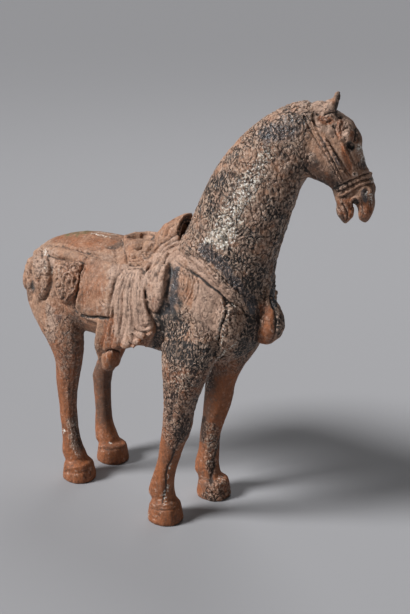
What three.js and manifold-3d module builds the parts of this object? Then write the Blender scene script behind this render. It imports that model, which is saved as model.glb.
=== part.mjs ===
// A standing pottery tomb horse with its saddle, cloth and harness in relief.
// Millimetres: +X is forward, +Y is the horse's left, +Z is up.

import * as THREE from 'three';
import Module from 'manifold-3d';

const wasm = await Module();
wasm.setup();

// Driving sizes
const height = 525; // from the ground to the ear tips
const trunkWidth = 120; // across the ribs
const frontStance = 86; // between the centres of the front hooves
const hindStance = 66; // between the centres of the hind hooves
const hoofWidth = 43;
const hoofHeight = 25;
const headTurn = 30; // degrees to the horse's left
const pommelWall = 6; // the clay of the arched pommel
const flapRise = 5; // how far each piece of harness stands proud of the body
const clothRise = 8;
const foldDepth = 2.6;
const strapRise = 4;
const leafRise = 6;
const bandRise = 3;
const sunk = 4; // how far the back of each piece lies under the skin

// The form tables are drawn for a horse 525 high and 120 wide, and brought to the chosen size
const k = height / 525;
const girth = trunkWidth / 120;
const ankleZ = (0.72 * hoofHeight) / k; // each leg ends inside its hoof

// Trunk and neck: top x, top z, bottom x, bottom z, half width, level of the widest point
const trunkRows = [
  [-166, 264, -166, 246, 8, 0.5],
  [-163, 282, -161, 230, 24, 0.5],
  [-155, 296, -151, 217, 38, 0.5],
  [-140, 308, -133, 207, 48, 0.5],
  [-113, 318, -103, 202, 55, 0.5],
  [-80, 325, -75, 200, 58, 0.5],
  [-40, 327, -38, 200, 58, 0.48],
  [0, 326, 0, 202, 58, 0.46],
  [40, 329, 45, 205, 59, 0.45],
  [72, 338, 95, 206, 60, 0.45],
  [86, 349, 138, 208, 60, 0.45],
  [93, 361, 168, 224, 56, 0.46],
  [99, 373, 184, 251, 52, 0.47],
  [105, 387, 190, 284, 47, 0.48],
  [113, 403, 195, 317, 42, 0.5],
  [122, 421, 202, 347, 38, 0.5],
  [133, 440, 211, 374, 34.5, 0.5],
  [147, 459, 218, 397, 31.5, 0.5],
  [165, 479, 224, 416, 29, 0.5],
  [187, 497, 231, 431, 26.5, 0.5],
  [209, 510, 242, 446, 24.5, 0.5],
  [230, 515, 253, 466, 20, 0.5],
];

// Head and lower jaw, drawn from the poll in the same way
const poll = [240, 512];
const headRows = [
  [-8, -2, -22, -38, 13, 0.5],
  [4, 2, -21, -54, 19, 0.5],
  [17, -3, -16, -69, 23, 0.5],
  [29, -10, -8, -77, 25.5, 0.48],
  [40, -18, 1, -80, 26.5, 0.5],
  [46, -29, 9, -83, 26, 0.52],
  [50, -41, 15, -86, 23, 0.54],
  [54, -54, 21, -90, 19.5, 0.52],
  [58, -67, 27, -94, 17, 0.5],
  [61, -80, 34, -98, 15.5, 0.5],
  [64, -92, 40, -102, 15, 0.5],
  [66, -103, 45, -106, 15.5, 0.5],
  [64, -113, 48, -112, 15, 0.5],
  [61, -120, 50, -118, 12, 0.5],
  [57, -125, 53, -123, 6, 0.5],
];
const jawRows = [
  [30, -84, 18, -84, 11, 0.5],
  [36, -95, 22, -96, 12, 0.5],
  [40, -105, 25, -105, 12.5, 0.5],
  [42, -114, 25, -113, 12, 0.5],
  [41, -121, 28, -120, 10.5, 0.5],
  [38, -126, 33, -126, 6, 0.5],
];

// Legs: height, x, offset out from the stance line, front, back and side radius
const frontLegRows = [
  [314, 126, -20, 22, 32, 10],
  [286, 126, -12, 30, 40, 17],
  [258, 127, -3, 31, 42, 21],
  [232, 124, 2, 33, 39, 22],
  [207, 116, 3, 30, 31, 21.5],
  [185, 109, 3, 23, 25, 19],
  [163, 103, 3, 18.5, 21, 17.5],
  [145, 99, 3, 17.5, 18, 17.5],
  [127, 96, 3, 17.5, 17, 17],
  [107, 90, 2.5, 15, 14.5, 14.5],
  [88, 85, 2, 13, 13, 13],
  [68, 80.5, 1.5, 12.5, 12.5, 12.5],
  [50, 77.5, 1, 13.5, 14.5, 13.5],
  [38, 76, 0.5, 14.5, 17, 14.5],
  [30, 78, 0, 15, 15, 14.5],
  [ankleZ, 81, 0, 15, 15, 15],
];
const hindLegRows = [
  [300, -120, -12, 24, 22, 10],
  [276, -120, -2, 38, 32, 18],
  [252, -116, 4, 44, 36, 21],
  [230, -106, 7, 43, 37, 22],
  [212, -96, 9, 37, 33, 21],
  [196, -89, 9, 30, 27, 19],
  [181, -84, 9, 23, 22, 17],
  [165, -83, 8, 18, 19, 15],
  [150, -86, 7, 16, 18.5, 13.5],
  [135, -89, 6, 14.5, 17, 12.5],
  [118, -92, 5, 12.5, 13, 11.5],
  [98, -93, 4, 11.5, 11.5, 11],
  [78, -93, 3, 11, 11, 10.5],
  [60, -92, 2, 11, 12, 10.5],
  [44, -90, 1, 12.5, 15, 12.5],
  [34, -87, 0, 14, 16.5, 14],
  [ankleZ, -80, 0, 15, 15, 15],
];
// How far each leg swings forward of its table, by height
const legs = [
  { rows: frontLegRows, hand: -1, hoofX: 80, swing: [[250, 0], [140, 7], [90, 5], [50, 1], [0, -1]] },
  { rows: frontLegRows, hand: 1, hoofX: 86, swing: [[250, 0], [140, -6], [90, -5], [50, -1], [0, 3]] },
  { rows: hindLegRows, hand: -1, hoofX: -79, swing: [[250, 0], [130, 3], [60, 3], [0, 1]] },
  {
    rows: hindLegRows,
    hand: 1,
    hoofX: -82,
    swing: [[250, 4], [190, 8], [150, 2], [115, -9], [60, -6], [0, -2]],
  },
];

// A row between the rows of a table, on a smooth curve through them
function rowAt(rows, place) {
  const i = Math.min(Math.floor(place), rows.length - 2);
  const t = place - i;
  const before = rows[Math.max(i - 1, 0)];
  const after = rows[Math.min(i + 2, rows.length - 1)];
  return rows[i].map((value, column) => {
    const next = rows[i + 1][column];
    const leave = (next - before[column]) / 2;
    const arrive = (after[column] - value) / 2;
    const bend = (2 * t * t * t - 3 * t * t + 1) * value + (t * t * t - 2 * t * t + t) * leave;
    return bend + (3 * t * t - 2 * t * t * t) * next + (t * t * t - t * t) * arrive;
  });
}

// A closed ring round a centre: up and side are unit vectors
function ring({ center, up, side, rise, fall, half, power = 2 }, count) {
  const soft = (value) => Math.sign(value) * Math.abs(value) ** (2 / power);
  return Array.from({ length: count }, (_, i) => {
    const angle = (2 * Math.PI * i) / count;
    const lift = soft(Math.sin(angle));
    return center.clone()
      .addScaledVector(side, soft(Math.cos(angle)) * half)
      .addScaledVector(up, lift * (lift > 0 ? rise : fall));
  });
}

const middleOf = (points) => points
  .reduce((sum, point) => sum.add(point), new THREE.Vector3())
  .divideScalar(points.length);

// Joins rings of equal length into one closed shell
function shellFromRings(rings) {
  const count = rings[0].length;
  const points = [...rings.flat(), middleOf(rings[0]), middleOf(rings[rings.length - 1])];
  const triangles = [];
  for (let j = 0; j < rings.length - 1; j += 1) {
    for (let i = 0; i < count; i += 1) {
      const a = j * count + i;
      const b = j * count + ((i + 1) % count);
      triangles.push([a, b, a + count], [b, b + count, a + count]);
    }
  }
  const last = (rings.length - 1) * count;
  for (let i = 0; i < count; i += 1) {
    const next = (i + 1) % count;
    triangles.push([points.length - 2, next, i], [points.length - 1, last + i, last + next]);
  }
  return { points, triangles };
}

// A shell with every point carried to a new place
const moved = ({ points, triangles }, place) => ({ points: points.map(place), triangles });

// A manifold solid from a shell, with its faces turned out
function solid({ points, triangles }) {
  const volume = triangles.reduce((sum, [a, b, c]) => (
    sum + points[a].dot(points[b].clone().cross(points[c]))
  ), 0);
  const outward = volume < 0 ? triangles.map(([a, b, c]) => [a, c, b]) : triangles;
  return new wasm.Manifold(new wasm.Mesh({
    numProp: 3,
    vertProperties: new Float32Array(points.flatMap((point) => point.toArray())),
    triVerts: new Uint32Array(outward.flat()),
  }));
}

const joined = (shells) => shells.map(solid).reduce((sum, each) => sum.add(each));

const sideways = new THREE.Vector3(0, 1, 0);
const forward = new THREE.Vector3(1, 0, 0);

// A ring that stands between a top and a bottom point of the profile
function profileRing([topX, topZ, bottomX, bottomZ, half, level], origin, width, count, power) {
  const top = new THREE.Vector3(origin[0] + topX, 0, origin[1] + topZ).multiplyScalar(k);
  const bottom = new THREE.Vector3(origin[0] + bottomX, 0, origin[1] + bottomZ).multiplyScalar(k);
  const span = top.distanceTo(bottom);
  return ring({
    center: bottom.clone().lerp(top, level),
    up: top.clone().sub(bottom).normalize(),
    side: sideways,
    rise: span * (1 - level),
    fall: span * level,
    half: half * width,
    power,
  }, count);
}

function profileShell(rows, origin, width, steps, count, power = 2) {
  const rings = Array.from({ length: steps + 1 }, (_, j) => (
    profileRing(rowAt(rows, (j / steps) * (rows.length - 1)), origin, width, count, power)
  ));
  return shellFromRings(rings);
}

function swingAt(swing, z) {
  const lower = swing.findIndex(([level]) => level <= z);
  if (lower === 0) return swing[0][1];
  const [highZ, high] = swing[lower - 1];
  const [lowZ, low] = swing[lower];
  const t = THREE.MathUtils.smoothstep(z, lowZ, highZ);
  return THREE.MathUtils.lerp(low, high, t);
}

// Hoof: share of its height, share of its width
const hoofRows = [[1, 0.76], [0.8, 0.88], [0.14, 1], [0, 0.96]];
const toeShare = 1.06;
const heelShare = 0.98;

function leg({ rows, hand, hoofX, swing }) {
  const steps = 18;
  const stance = rows === frontLegRows ? frontStance : hindStance;
  const rings = Array.from({ length: steps + 1 }, (_, j) => {
    const [z, x, out, front, back, side] = rowAt(rows, (j / steps) * (rows.length - 1));
    return ring({
      center: new THREE.Vector3((x + swingAt(swing, z)) * k, hand * (stance / 2 + out * k), z * k),
      up: forward,
      side: sideways,
      rise: front * k,
      fall: back * k,
      half: side * k,
      power: 2.2,
    }, 12);
  });
  const hoofRings = hoofRows.map(([rise, wide]) => ring({
    center: new THREE.Vector3(hoofX * k, hand * (stance / 2), rise * hoofHeight),
    up: forward,
    side: sideways,
    rise: (hoofWidth / 2) * wide * toeShare,
    fall: (hoofWidth / 2) * wide * heelShare,
    half: (hoofWidth / 2) * wide,
    power: 2.2,
  }, 12));
  return [shellFromRings(rings), shellFromRings(hoofRings)];
}

// Neck and head turn to the left, more and more from the base of the neck to the poll
const bendBase = new THREE.Vector3(135, 0, 320).multiplyScalar(k);
const bendTop = new THREE.Vector3(228, 0, 485).multiplyScalar(k);
const upright = new THREE.Vector3(0, 0, 1);

function turned(point, share) {
  const along = bendTop.clone().sub(bendBase);
  const yaw = (s) => THREE.MathUtils.degToRad(headTurn) * s * s * (3 - 2 * s);
  const axis = bendBase.clone().addScaledVector(along, share);
  const shifted = new THREE.Vector3(bendBase.x, 0, axis.z);
  const steps = 16;
  for (let i = 0; i < steps; i += 1) {
    const angle = yaw((share * (i + 0.5)) / steps);
    shifted.x += (Math.cos(angle) * along.x * share) / steps;
    shifted.y += (Math.sin(angle) * along.x * share) / steps;
  }
  return point.clone().sub(axis).applyAxisAngle(upright, yaw(share)).add(shifted);
}

function bent(point) {
  const along = bendTop.clone().sub(bendBase);
  const share = point.clone().sub(bendBase).dot(along) / along.lengthSq();
  return turned(point, THREE.MathUtils.clamp(share, 0, 1));
}

function buildBody() {
  const trunk = moved(profileShell(trunkRows, [0, 0], girth, 32, 22, 2.15), bent);
  return joined([trunk, ...legs.flatMap(leg)]);
}

function geometryOf(points, index) {
  const geometry = new THREE.BufferGeometry();
  geometry.setAttribute('position', new THREE.BufferAttribute(new Float32Array(points), 3));
  geometry.setIndex(new THREE.BufferAttribute(new Uint32Array(index), 1));
  return geometry;
}

// Finds the surface of a body from outside: a ray runs in along a direction to a core point
function surfaceOf(geometry) {
  const skin = new THREE.Mesh(geometry, new THREE.MeshBasicMaterial({ side: THREE.DoubleSide }));
  const caster = new THREE.Raycaster();
  return ({ core, outward }) => {
    caster.set(core.clone().addScaledVector(outward, height), outward.clone().negate());
    const [hit] = caster.intersectObject(skin);
    return hit ? hit.point : core;
  };
}

const radians = THREE.MathUtils.degToRad;

// Round the barrel: lift is degrees up from the level of its core, on one hand
const barrelCore = 262;
function onBarrel(x, lift, hand) {
  return {
    core: new THREE.Vector3(x, 0, barrelCore).multiplyScalar(k),
    outward: new THREE.Vector3(0, hand * Math.cos(radians(lift)), Math.sin(radians(lift))),
  };
}

// Round an upright line: turn is degrees from straight ahead, on one hand
function onUpright(lineX, turn, z, hand, aside = 0) {
  const outward = new THREE.Vector3(Math.cos(radians(turn)), hand * Math.sin(radians(turn)), 0);
  const across = new THREE.Vector3(-outward.y, outward.x, 0);
  return {
    core: new THREE.Vector3(lineX, 0, z).multiplyScalar(k).addScaledVector(across, aside),
    outward,
  };
}

// A sheet that lies on a body: its face stands proud, its back is sunk in
function sheet(find, place, rise, columns, rows) {
  const face = [];
  const back = [];
  for (let j = 0; j <= rows; j += 1) {
    for (let i = 0; i <= columns; i += 1) {
      const spot = place(i / columns, j / rows);
      const foot = find(spot);
      const drop = new THREE.Vector3(0, 0, -(spot.drop || 0));
      face.push(foot.clone().addScaledVector(spot.outward, rise(i / columns, j / rows)).add(drop));
      back.push(foot.clone().addScaledVector(spot.outward, -(spot.depth || sunk)).add(drop));
    }
  }
  const count = face.length;
  const wide = columns + 1;
  const triangles = [];
  for (let j = 0; j < rows; j += 1) {
    for (let i = 0; i < columns; i += 1) {
      const a = j * wide + i;
      triangles.push([a, a + 1, a + wide], [a + 1, a + wide + 1, a + wide]);
      triangles.push([count + a, count + a + wide, count + a + 1]);
      triangles.push([count + a + 1, count + a + wide, count + a + wide + 1]);
    }
  }
  const rim = [];
  for (let i = 0; i < columns; i += 1) rim.push(i);
  for (let j = 0; j < rows; j += 1) rim.push(j * wide + columns);
  for (let i = columns; i > 0; i -= 1) rim.push(rows * wide + i);
  for (let j = rows; j > 0; j -= 1) rim.push(j * wide);
  rim.forEach((a, i) => {
    const b = rim[(i + 1) % rim.length];
    triangles.push([a, count + a, b], [b, count + a, count + b]);
  });
  return { points: [...face, ...back], triangles };
}

// A value at a place in a short list of [place, value] pairs, straight between them
function along(pairs, place) {
  if (place <= pairs[0][0]) return pairs[0][1];
  const next = pairs.findIndex(([at]) => at >= place);
  if (next < 0) return pairs[pairs.length - 1][1];
  const [from, low] = pairs[next - 1];
  const [to, high] = pairs[next];
  return low + ((high - low) * (place - from)) / (to - from);
}

// Saddle: a deep seat with a raised rim, and an arched pommel that is open to the front
const seatX = 11;
const pommelFoot = 312;
const pommelMouth = 9; // how far the hollow of the pommel runs out past its front
const seatRows = [
  [294, 20, 41], [305, 21, 41], [309, 18.5, 37], [314, 20, 37], [318, 18.5, 32], [326, 21, 27],
  [333, 23, 23], [334, 21, 20], [330, 17, 15], [322, 13, 10],
]; // height, half length, half width
const pommelRows = [
  [24, 329, 19], [36, 343, 24], [50, 357, 25], [64, 368, 23.5], [76, 375, 21], [82, 377, 19],
]; // x, top, half width

function buildSeat() {
  const rings = seatRows.map(([z, long, wide]) => ring({
    center: new THREE.Vector3(seatX, 0, z).multiplyScalar(k),
    up: forward,
    side: sideways,
    rise: long * k,
    fall: long * k,
    half: wide * girth,
    power: 2.5,
  }, 14));
  return shellFromRings(rings);
}

function pommelArch(wall, reach) {
  const rings = pommelRows.map(([x, top, wide]) => ring({
    center: new THREE.Vector3(x + reach, 0, pommelFoot).multiplyScalar(k),
    up: upright,
    side: sideways,
    rise: (top - pommelFoot) * k - wall,
    fall: sunk,
    half: wide * girth - wall,
    power: 2.4,
  }, 14));
  return shellFromRings(rings);
}

function buildSaddle() {
  return joined([buildSeat(), pommelArch(0, 0)]).subtract(solid(pommelArch(pommelWall, pommelMouth)));
}

// Side flap of the saddle, between two lifts round the barrel
const flapRear = [[0, -30], [0.35, -33], [0.8, -46], [0.93, -44], [1, -38]];
const flapFront = 14;
const flapTop = 48;
const flapFoot = -24;
function buildFlap(find, hand) {
  const { lerp } = THREE.MathUtils;
  return sheet(
    find,
    (u, v) => onBarrel(lerp(along(flapRear, v), flapFront, u), lerp(flapTop, flapFoot, v), hand),
    () => flapRise,
    3,
    7,
  );
}

// Cloth: it is gathered at the saddle, falls in upright folds and hangs free below the ribs
const clothFolds = 5;
const clothTop = 66;
const clothFoot = -12;
const clothFront = [[0, 52], [0.2, 64], [0.45, 77], [0.7, 85], [0.8, 84], [1, 72]];
const clothRear = [[0, 10], [0.35, 3], [0.7, -7], [1, -12]];
const hangFrom = 0.62;
const clothDrop = [[0, 38], [0.1, 66], [0.3, 66], [0.36, 34], [0.8, 24], [0.93, 12], [1, 2]];
function buildCloth(find, hand) {
  return sheet(
    find,
    (u, v) => {
      const x = THREE.MathUtils.lerp(along(clothRear, v), along(clothFront, v), u);
      const fall = Math.min(v / hangFrom, 1);
      const spot = onBarrel(x, THREE.MathUtils.lerp(clothTop, clothFoot, fall), hand);
      const hang = Math.max(v - hangFrom, 0) / (1 - hangFrom);
      return { ...spot, drop: hang * along(clothDrop, u) * k, depth: sunk + clothRise * hang };
    },
    (u, v) => {
      const fold = foldDepth * Math.cos(2 * Math.PI * clothFolds * (u + 0.02 * Math.sin(6 * v)));
      const edge = Math.min(u, 1 - u) < 0.02 ? 0.38 : 0;
      return clothRise * (0.62 + 0.38 * v - edge) + fold * Math.min(1, 0.4 + v);
    },
    hand < 0 ? 20 : 10,
    8,
  );
}

// A lobe of the cloth that falls forward to a point in front of the folds
const lobeX = [[0, 66], [0.3, 78], [0.6, 86], [1, 94]];
const lobeWide = [[0, 30], [1, 8]];
const lobeFoot = 24;
function buildLobe(find, hand) {
  return sheet(
    find,
    (u, v) => {
      const x = along(lobeX, v) + (u - 0.5) * along(lobeWide, v);
      return onBarrel(x, THREE.MathUtils.lerp(clothTop, lobeFoot, v), hand);
    },
    (u) => clothRise * (0.62 + 0.38 * Math.sin(Math.PI * u)),
    5,
    6,
  );
}

// Crupper strap, from the rump to the saddle: x and lift, with its width in degrees of lift
const crupperLift = [[-150, 46], [-122, 51], [-85, 47], [-48, 43], [-10, 41]];
const crupperWide = 10;
function buildCrupper(find, hand) {
  const [rear, front] = [crupperLift[0][0], crupperLift[crupperLift.length - 1][0]];
  return sheet(
    find,
    (u, v) => {
      const x = THREE.MathUtils.lerp(rear, front, u);
      return onBarrel(x, along(crupperLift, x) + (v - 0.5) * crupperWide, hand);
    },
    (u, v) => (v > 0 && v < 1 ? strapRise : strapRise * 0.7),
    10,
    2,
  );
}

// Breast strap, round an upright line through the chest: turn and height
const chestLine = 110;
const breastHeight = [[0, 285], [13, 290], [22, 301], [37, 321], [58, 343], [77, 351], [112, 356]];
const breastTurn = 112;
const breastWide = 14;
function buildBreastStrap(find, hand) {
  return sheet(
    find,
    (u, v) => {
      const turn = breastTurn * u;
      return onUpright(chestLine, turn, along(breastHeight, turn) + (v - 0.5) * breastWide, hand);
    },
    (u, v) => (v > 0 && v < 1 ? strapRise : strapRise * 0.6),
    12,
    2,
  );
}

// A leaf-shaped pendant: its width is widest a third of the way down
const leafShape = [[0, 0.55], [0.15, 0.85], [0.4, 1], [0.65, 0.86], [0.85, 0.5], [1, 0.12]];
function buildLeaf(find, { x, turn, top, wide, long, lean = 0 }, hand) {
  return sheet(
    find,
    (u, v) => {
      const aside = (u - 0.5) * wide * along(leafShape, v) + lean * v;
      return onUpright(x, turn, top - long * v, hand, hand * aside * k);
    },
    (u, v) => leafRise * (0.55 + 0.45 * Math.sin(Math.PI * u)) * (v > 0.95 ? 0.8 : 1),
    4,
    4,
  );
}
const leaves = [
  { x: -62, turn: 90, top: 300, wide: 44, long: 51, lean: 4 },
  { x: -102, turn: 98, top: 294, wide: 31, long: 50 },
  { x: -104, turn: 140, top: 286, wide: 28, long: 46 },
  { x: chestLine, turn: 34, top: 292, wide: 28, long: 50, lean: -8 },
];

// The tassel at the middle of the breast strap: a thick side and a knotted front
const tasselRows = [
  [306, 192, 3, 4], [298, 195, 6, 6], [289, 198, 10, 9], [278, 200, 14, 12], [265, 201, 15, 13],
  [253, 198, 13, 11], [243, 192, 8, 7],
]; // height, x, half depth, half width
const tasselAside = 4;
const tasselRoot = 6; // how far its back is sunk in the chest
function buildTassel() {
  const rings = tasselRows.map(([z, x, deep, wide]) => ring({
    center: new THREE.Vector3(x, tasselAside, z).multiplyScalar(k),
    up: forward,
    side: sideways,
    rise: deep * k,
    fall: (deep + tasselRoot) * k,
    half: wide * k,
    power: 2.4,
  }, 12));
  return shellFromRings(rings);
}

// A short bound tail, close against the rump
const tailRows = [
  [286, -158, 7], [280, -168, 9], [268, -174, 9], [254, -175, 8], [240, -172, 6], [232, -167, 3],
]; // height, x, radius
function buildTail() {
  const rings = tailRows.map(([z, x, half]) => ring({
    center: new THREE.Vector3(x, 0, z).multiplyScalar(k),
    up: forward,
    side: sideways,
    rise: half * k,
    fall: half * k,
    half: half * k,
  }, 10));
  return shellFromRings(rings);
}

// An ear, drawn from its root: x, z, front-back radius, side radius
const earAside = 10;
const earRows = [
  [13, -10, 7, 6],
  [15, -3, 7.5, 6],
  [18, 4, 6.5, 4.5],
  [21, 10, 4, 2.5],
  [22, 13, 1, 1],
];

function ear(hand) {
  const rings = earRows.map(([x, z, long, wide]) => ring({
    center: new THREE.Vector3(poll[0] + x, hand * earAside, poll[1] + z).multiplyScalar(k),
    up: forward,
    side: sideways,
    rise: long * k,
    fall: long * k,
    half: wide * k,
  }, 8));
  return shellFromRings(rings);
}

// A band round the head between two rows of its table, with its edges lower than its middle
function headBand(from, to) {
  const rings = [0.4, 1, 1, 0.4].map((share, j) => {
    const row = rowAt(headRows, THREE.MathUtils.lerp(from, to, j / 3));
    const shape = profileRing(row, poll, k, 12, 2.2);
    const middle = middleOf(shape);
    return shape.map((point) => point.add(point.clone().sub(middle).setLength(bandRise * share)));
  });
  return shellFromRings(rings);
}

// An eye under its brow, tilted down to the front
const eyeSpot = { x: 33, z: -32, long: 8, tall: 5.5 };
const eyeUp = new THREE.Vector3(0.35, 0, 0.94).normalize();
const eyeSide = new THREE.Vector3(eyeUp.z, 0, -eyeUp.x);
function eye(find, hand) {
  const core = new THREE.Vector3(poll[0] + eyeSpot.x, 0, poll[1] + eyeSpot.z).multiplyScalar(k);
  const spot = { core, outward: new THREE.Vector3(0, hand, 0) };
  const rings = [[-4, 1], [1.5, 0.95], [4, 0.5]].map(([out, share]) => ring({
    center: find(spot).addScaledVector(spot.outward, out * k),
    up: eyeUp,
    side: eyeSide,
    rise: eyeSpot.tall * share * k,
    fall: eyeSpot.tall * share * k,
    half: eyeSpot.long * share * k,
  }, 8));
  return shellFromRings(rings);
}

// Cheek strap: from behind the ear down to the noseband, as head coordinates
const cheekStrap = [[4, -18], [16, -45], [27, -68], [38, -90]];
const cheekStrapWide = 10;
function buildCheekStrap(find, hand) {
  const path = new THREE.CatmullRomCurve3(cheekStrap.map(([x, z]) => new THREE.Vector3(x, 0, z)));
  return sheet(
    find,
    (u, v) => {
      const point = path.getPoint(u);
      const tangent = path.getTangent(u);
      point.x += (v - 0.5) * cheekStrapWide * tangent.z;
      point.z -= (v - 0.5) * cheekStrapWide * tangent.x;
      return {
        core: new THREE.Vector3(poll[0] + point.x, 0, poll[1] + point.z).multiplyScalar(k),
        outward: new THREE.Vector3(0, hand, 0),
      };
    },
    (u, v) => bandRise * (v > 0 && v < 1 ? 1 : 0.5),
    5,
    2,
  );
}

function buildHead() {
  const skull = profileShell(headRows, poll, k, 15, 14, 2.2);
  const points = skull.points.flatMap((point) => point.toArray());
  const find = surfaceOf(geometryOf(points, skull.triangles.flat()));
  const shells = [skull, profileShell(jawRows, poll, k, 5, 10, 2.3), headBand(9.0, 10.1)];
  for (const hand of [-1, 1]) shells.push(ear(hand), eye(find, hand), buildCheekStrap(find, hand));
  return joined(shells.map((shell) => moved(shell, (point) => turned(point, 1))));
}

function buildHorse() {
  const body = buildBody();
  const { vertProperties, triVerts } = body.getMesh();
  const find = surfaceOf(geometryOf(vertProperties, triVerts));
  const shells = [buildTassel(), buildTail()];
  for (const hand of [-1, 1]) {
    const harness = [buildFlap, buildCrupper, buildCloth, buildLobe, buildBreastStrap];
    shells.push(...harness.map((build) => build(find, hand)));
    shells.push(...leaves.map((one) => buildLeaf(find, one, hand)));
  }
  return body.add(buildHead()).add(buildSaddle()).add(joined(shells));
}

const { vertProperties, triVerts } = buildHorse().getMesh();
const geometry = geometryOf(vertProperties, triVerts);

// The origin is under the middle of the figure, on the ground
geometry.computeBoundingBox();
const { min, max } = geometry.boundingBox;
geometry.translate(-(min.x + max.x) / 2, -(min.y + max.y) / 2, -min.z);

const horse = new THREE.Mesh(
  geometry,
  new THREE.MeshStandardMaterial({ color: 0x8a6a55, roughness: 0.7, metalness: 0 }),
);
horse.name = 'horse';
const model = new THREE.Group();
model.add(horse);
export default model;
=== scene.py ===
# Pottery tomb horse: fired clay with worn buff slip and flaking dark pigment
import math
import bpy
import numpy as np
from mathutils import Matrix, Vector, noise
from mathutils.bvhtree import BVHTree


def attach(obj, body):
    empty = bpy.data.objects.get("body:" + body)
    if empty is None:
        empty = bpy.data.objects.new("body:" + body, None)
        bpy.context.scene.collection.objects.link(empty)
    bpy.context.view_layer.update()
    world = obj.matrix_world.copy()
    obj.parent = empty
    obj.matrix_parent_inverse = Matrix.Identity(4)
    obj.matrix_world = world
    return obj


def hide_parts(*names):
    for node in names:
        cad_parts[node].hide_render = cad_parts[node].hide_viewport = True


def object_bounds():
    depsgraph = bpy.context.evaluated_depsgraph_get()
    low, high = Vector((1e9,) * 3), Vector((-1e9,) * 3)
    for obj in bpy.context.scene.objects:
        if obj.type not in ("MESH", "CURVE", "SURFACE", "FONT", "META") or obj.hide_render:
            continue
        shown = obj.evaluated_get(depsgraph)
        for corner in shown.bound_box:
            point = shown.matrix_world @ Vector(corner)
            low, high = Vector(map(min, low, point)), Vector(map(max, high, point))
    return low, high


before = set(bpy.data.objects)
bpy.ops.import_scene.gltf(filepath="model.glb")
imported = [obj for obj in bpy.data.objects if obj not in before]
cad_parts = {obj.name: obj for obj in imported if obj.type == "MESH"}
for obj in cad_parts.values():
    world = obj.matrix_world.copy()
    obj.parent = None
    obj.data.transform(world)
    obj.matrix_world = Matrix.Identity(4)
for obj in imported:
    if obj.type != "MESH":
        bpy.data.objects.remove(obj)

lowCorner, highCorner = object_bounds()
cadBox = [list(lowCorner), list(highCorner)]
print("stage: frame loaded")

mm = 0.001

# The camera stands where the photograph was taken from
camera = {
    "lookAt": (0.0520, -0.0024, 0.2679),
    "azimuth": 39.6,
    "elevation": 19.13,
    "distance": 1.3327,
    "focalPixels": 1150,
    "framePixels": (410, 614),
    "sensor": 36,
}


def towardsCamera():
    azimuth = math.radians(camera["azimuth"])
    elevation = math.radians(camera["elevation"])
    flat = math.cos(elevation)
    return Vector((math.sin(azimuth) * flat, -math.cos(azimuth) * flat, math.sin(elevation)))


def addCamera():
    data = bpy.data.cameras.new("photoCamera")
    data.sensor_width = camera["sensor"]
    data.lens = camera["focalPixels"] * camera["sensor"] / camera["framePixels"][1]
    data.clip_start = 0.05
    data.clip_end = 60
    photoCamera = bpy.data.objects.new("photoCamera", data)
    bpy.context.scene.collection.objects.link(photoCamera)
    back = towardsCamera()
    photoCamera.location = Vector(camera["lookAt"]) + back * camera["distance"]
    photoCamera.rotation_mode = "QUATERNION"
    photoCamera.rotation_quaternion = (-back).to_track_quat("-Z", "Y")
    bpy.context.scene.camera = photoCamera
    return photoCamera


# Where points fall in the photograph, in its pixels
def photoSpots(points):
    back = np.array(towardsCamera())
    right = np.cross(-back, (0, 0, 1))
    right /= np.linalg.norm(right)
    up = np.cross(right, -back)
    offset = points - (np.array(camera["lookAt"]) + back * camera["distance"])
    depth = -(offset @ back)
    middle = np.array(camera["framePixels"]) / 2
    across = middle[0] + camera["focalPixels"] * (offset @ right) / depth
    down = middle[1] - camera["focalPixels"] * (offset @ up) / depth
    return np.stack([across, down], 1)


# Soft studio light: a large key from the upper left, a weak fill and a light from above and behind
studio = {
    "key": {"from": (-0.42, -0.66, 0.66), "spread": 18, "power": 4.2},
    "fill": {"place": (2.6, -1.2, 1.2), "size": 2.0, "power": 5},
    "top": {"place": (-0.8, 1.5, 2.6), "size": 1.6, "power": 22},
    "world": (0.64, 0.635, 0.64),
    "worldStrength": 0.075,
    "roomShown": (0.36, 0.36, 0.375),
    "floorColour": (0.33, 0.33, 0.345),
    "floorSize": 60,
}


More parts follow.
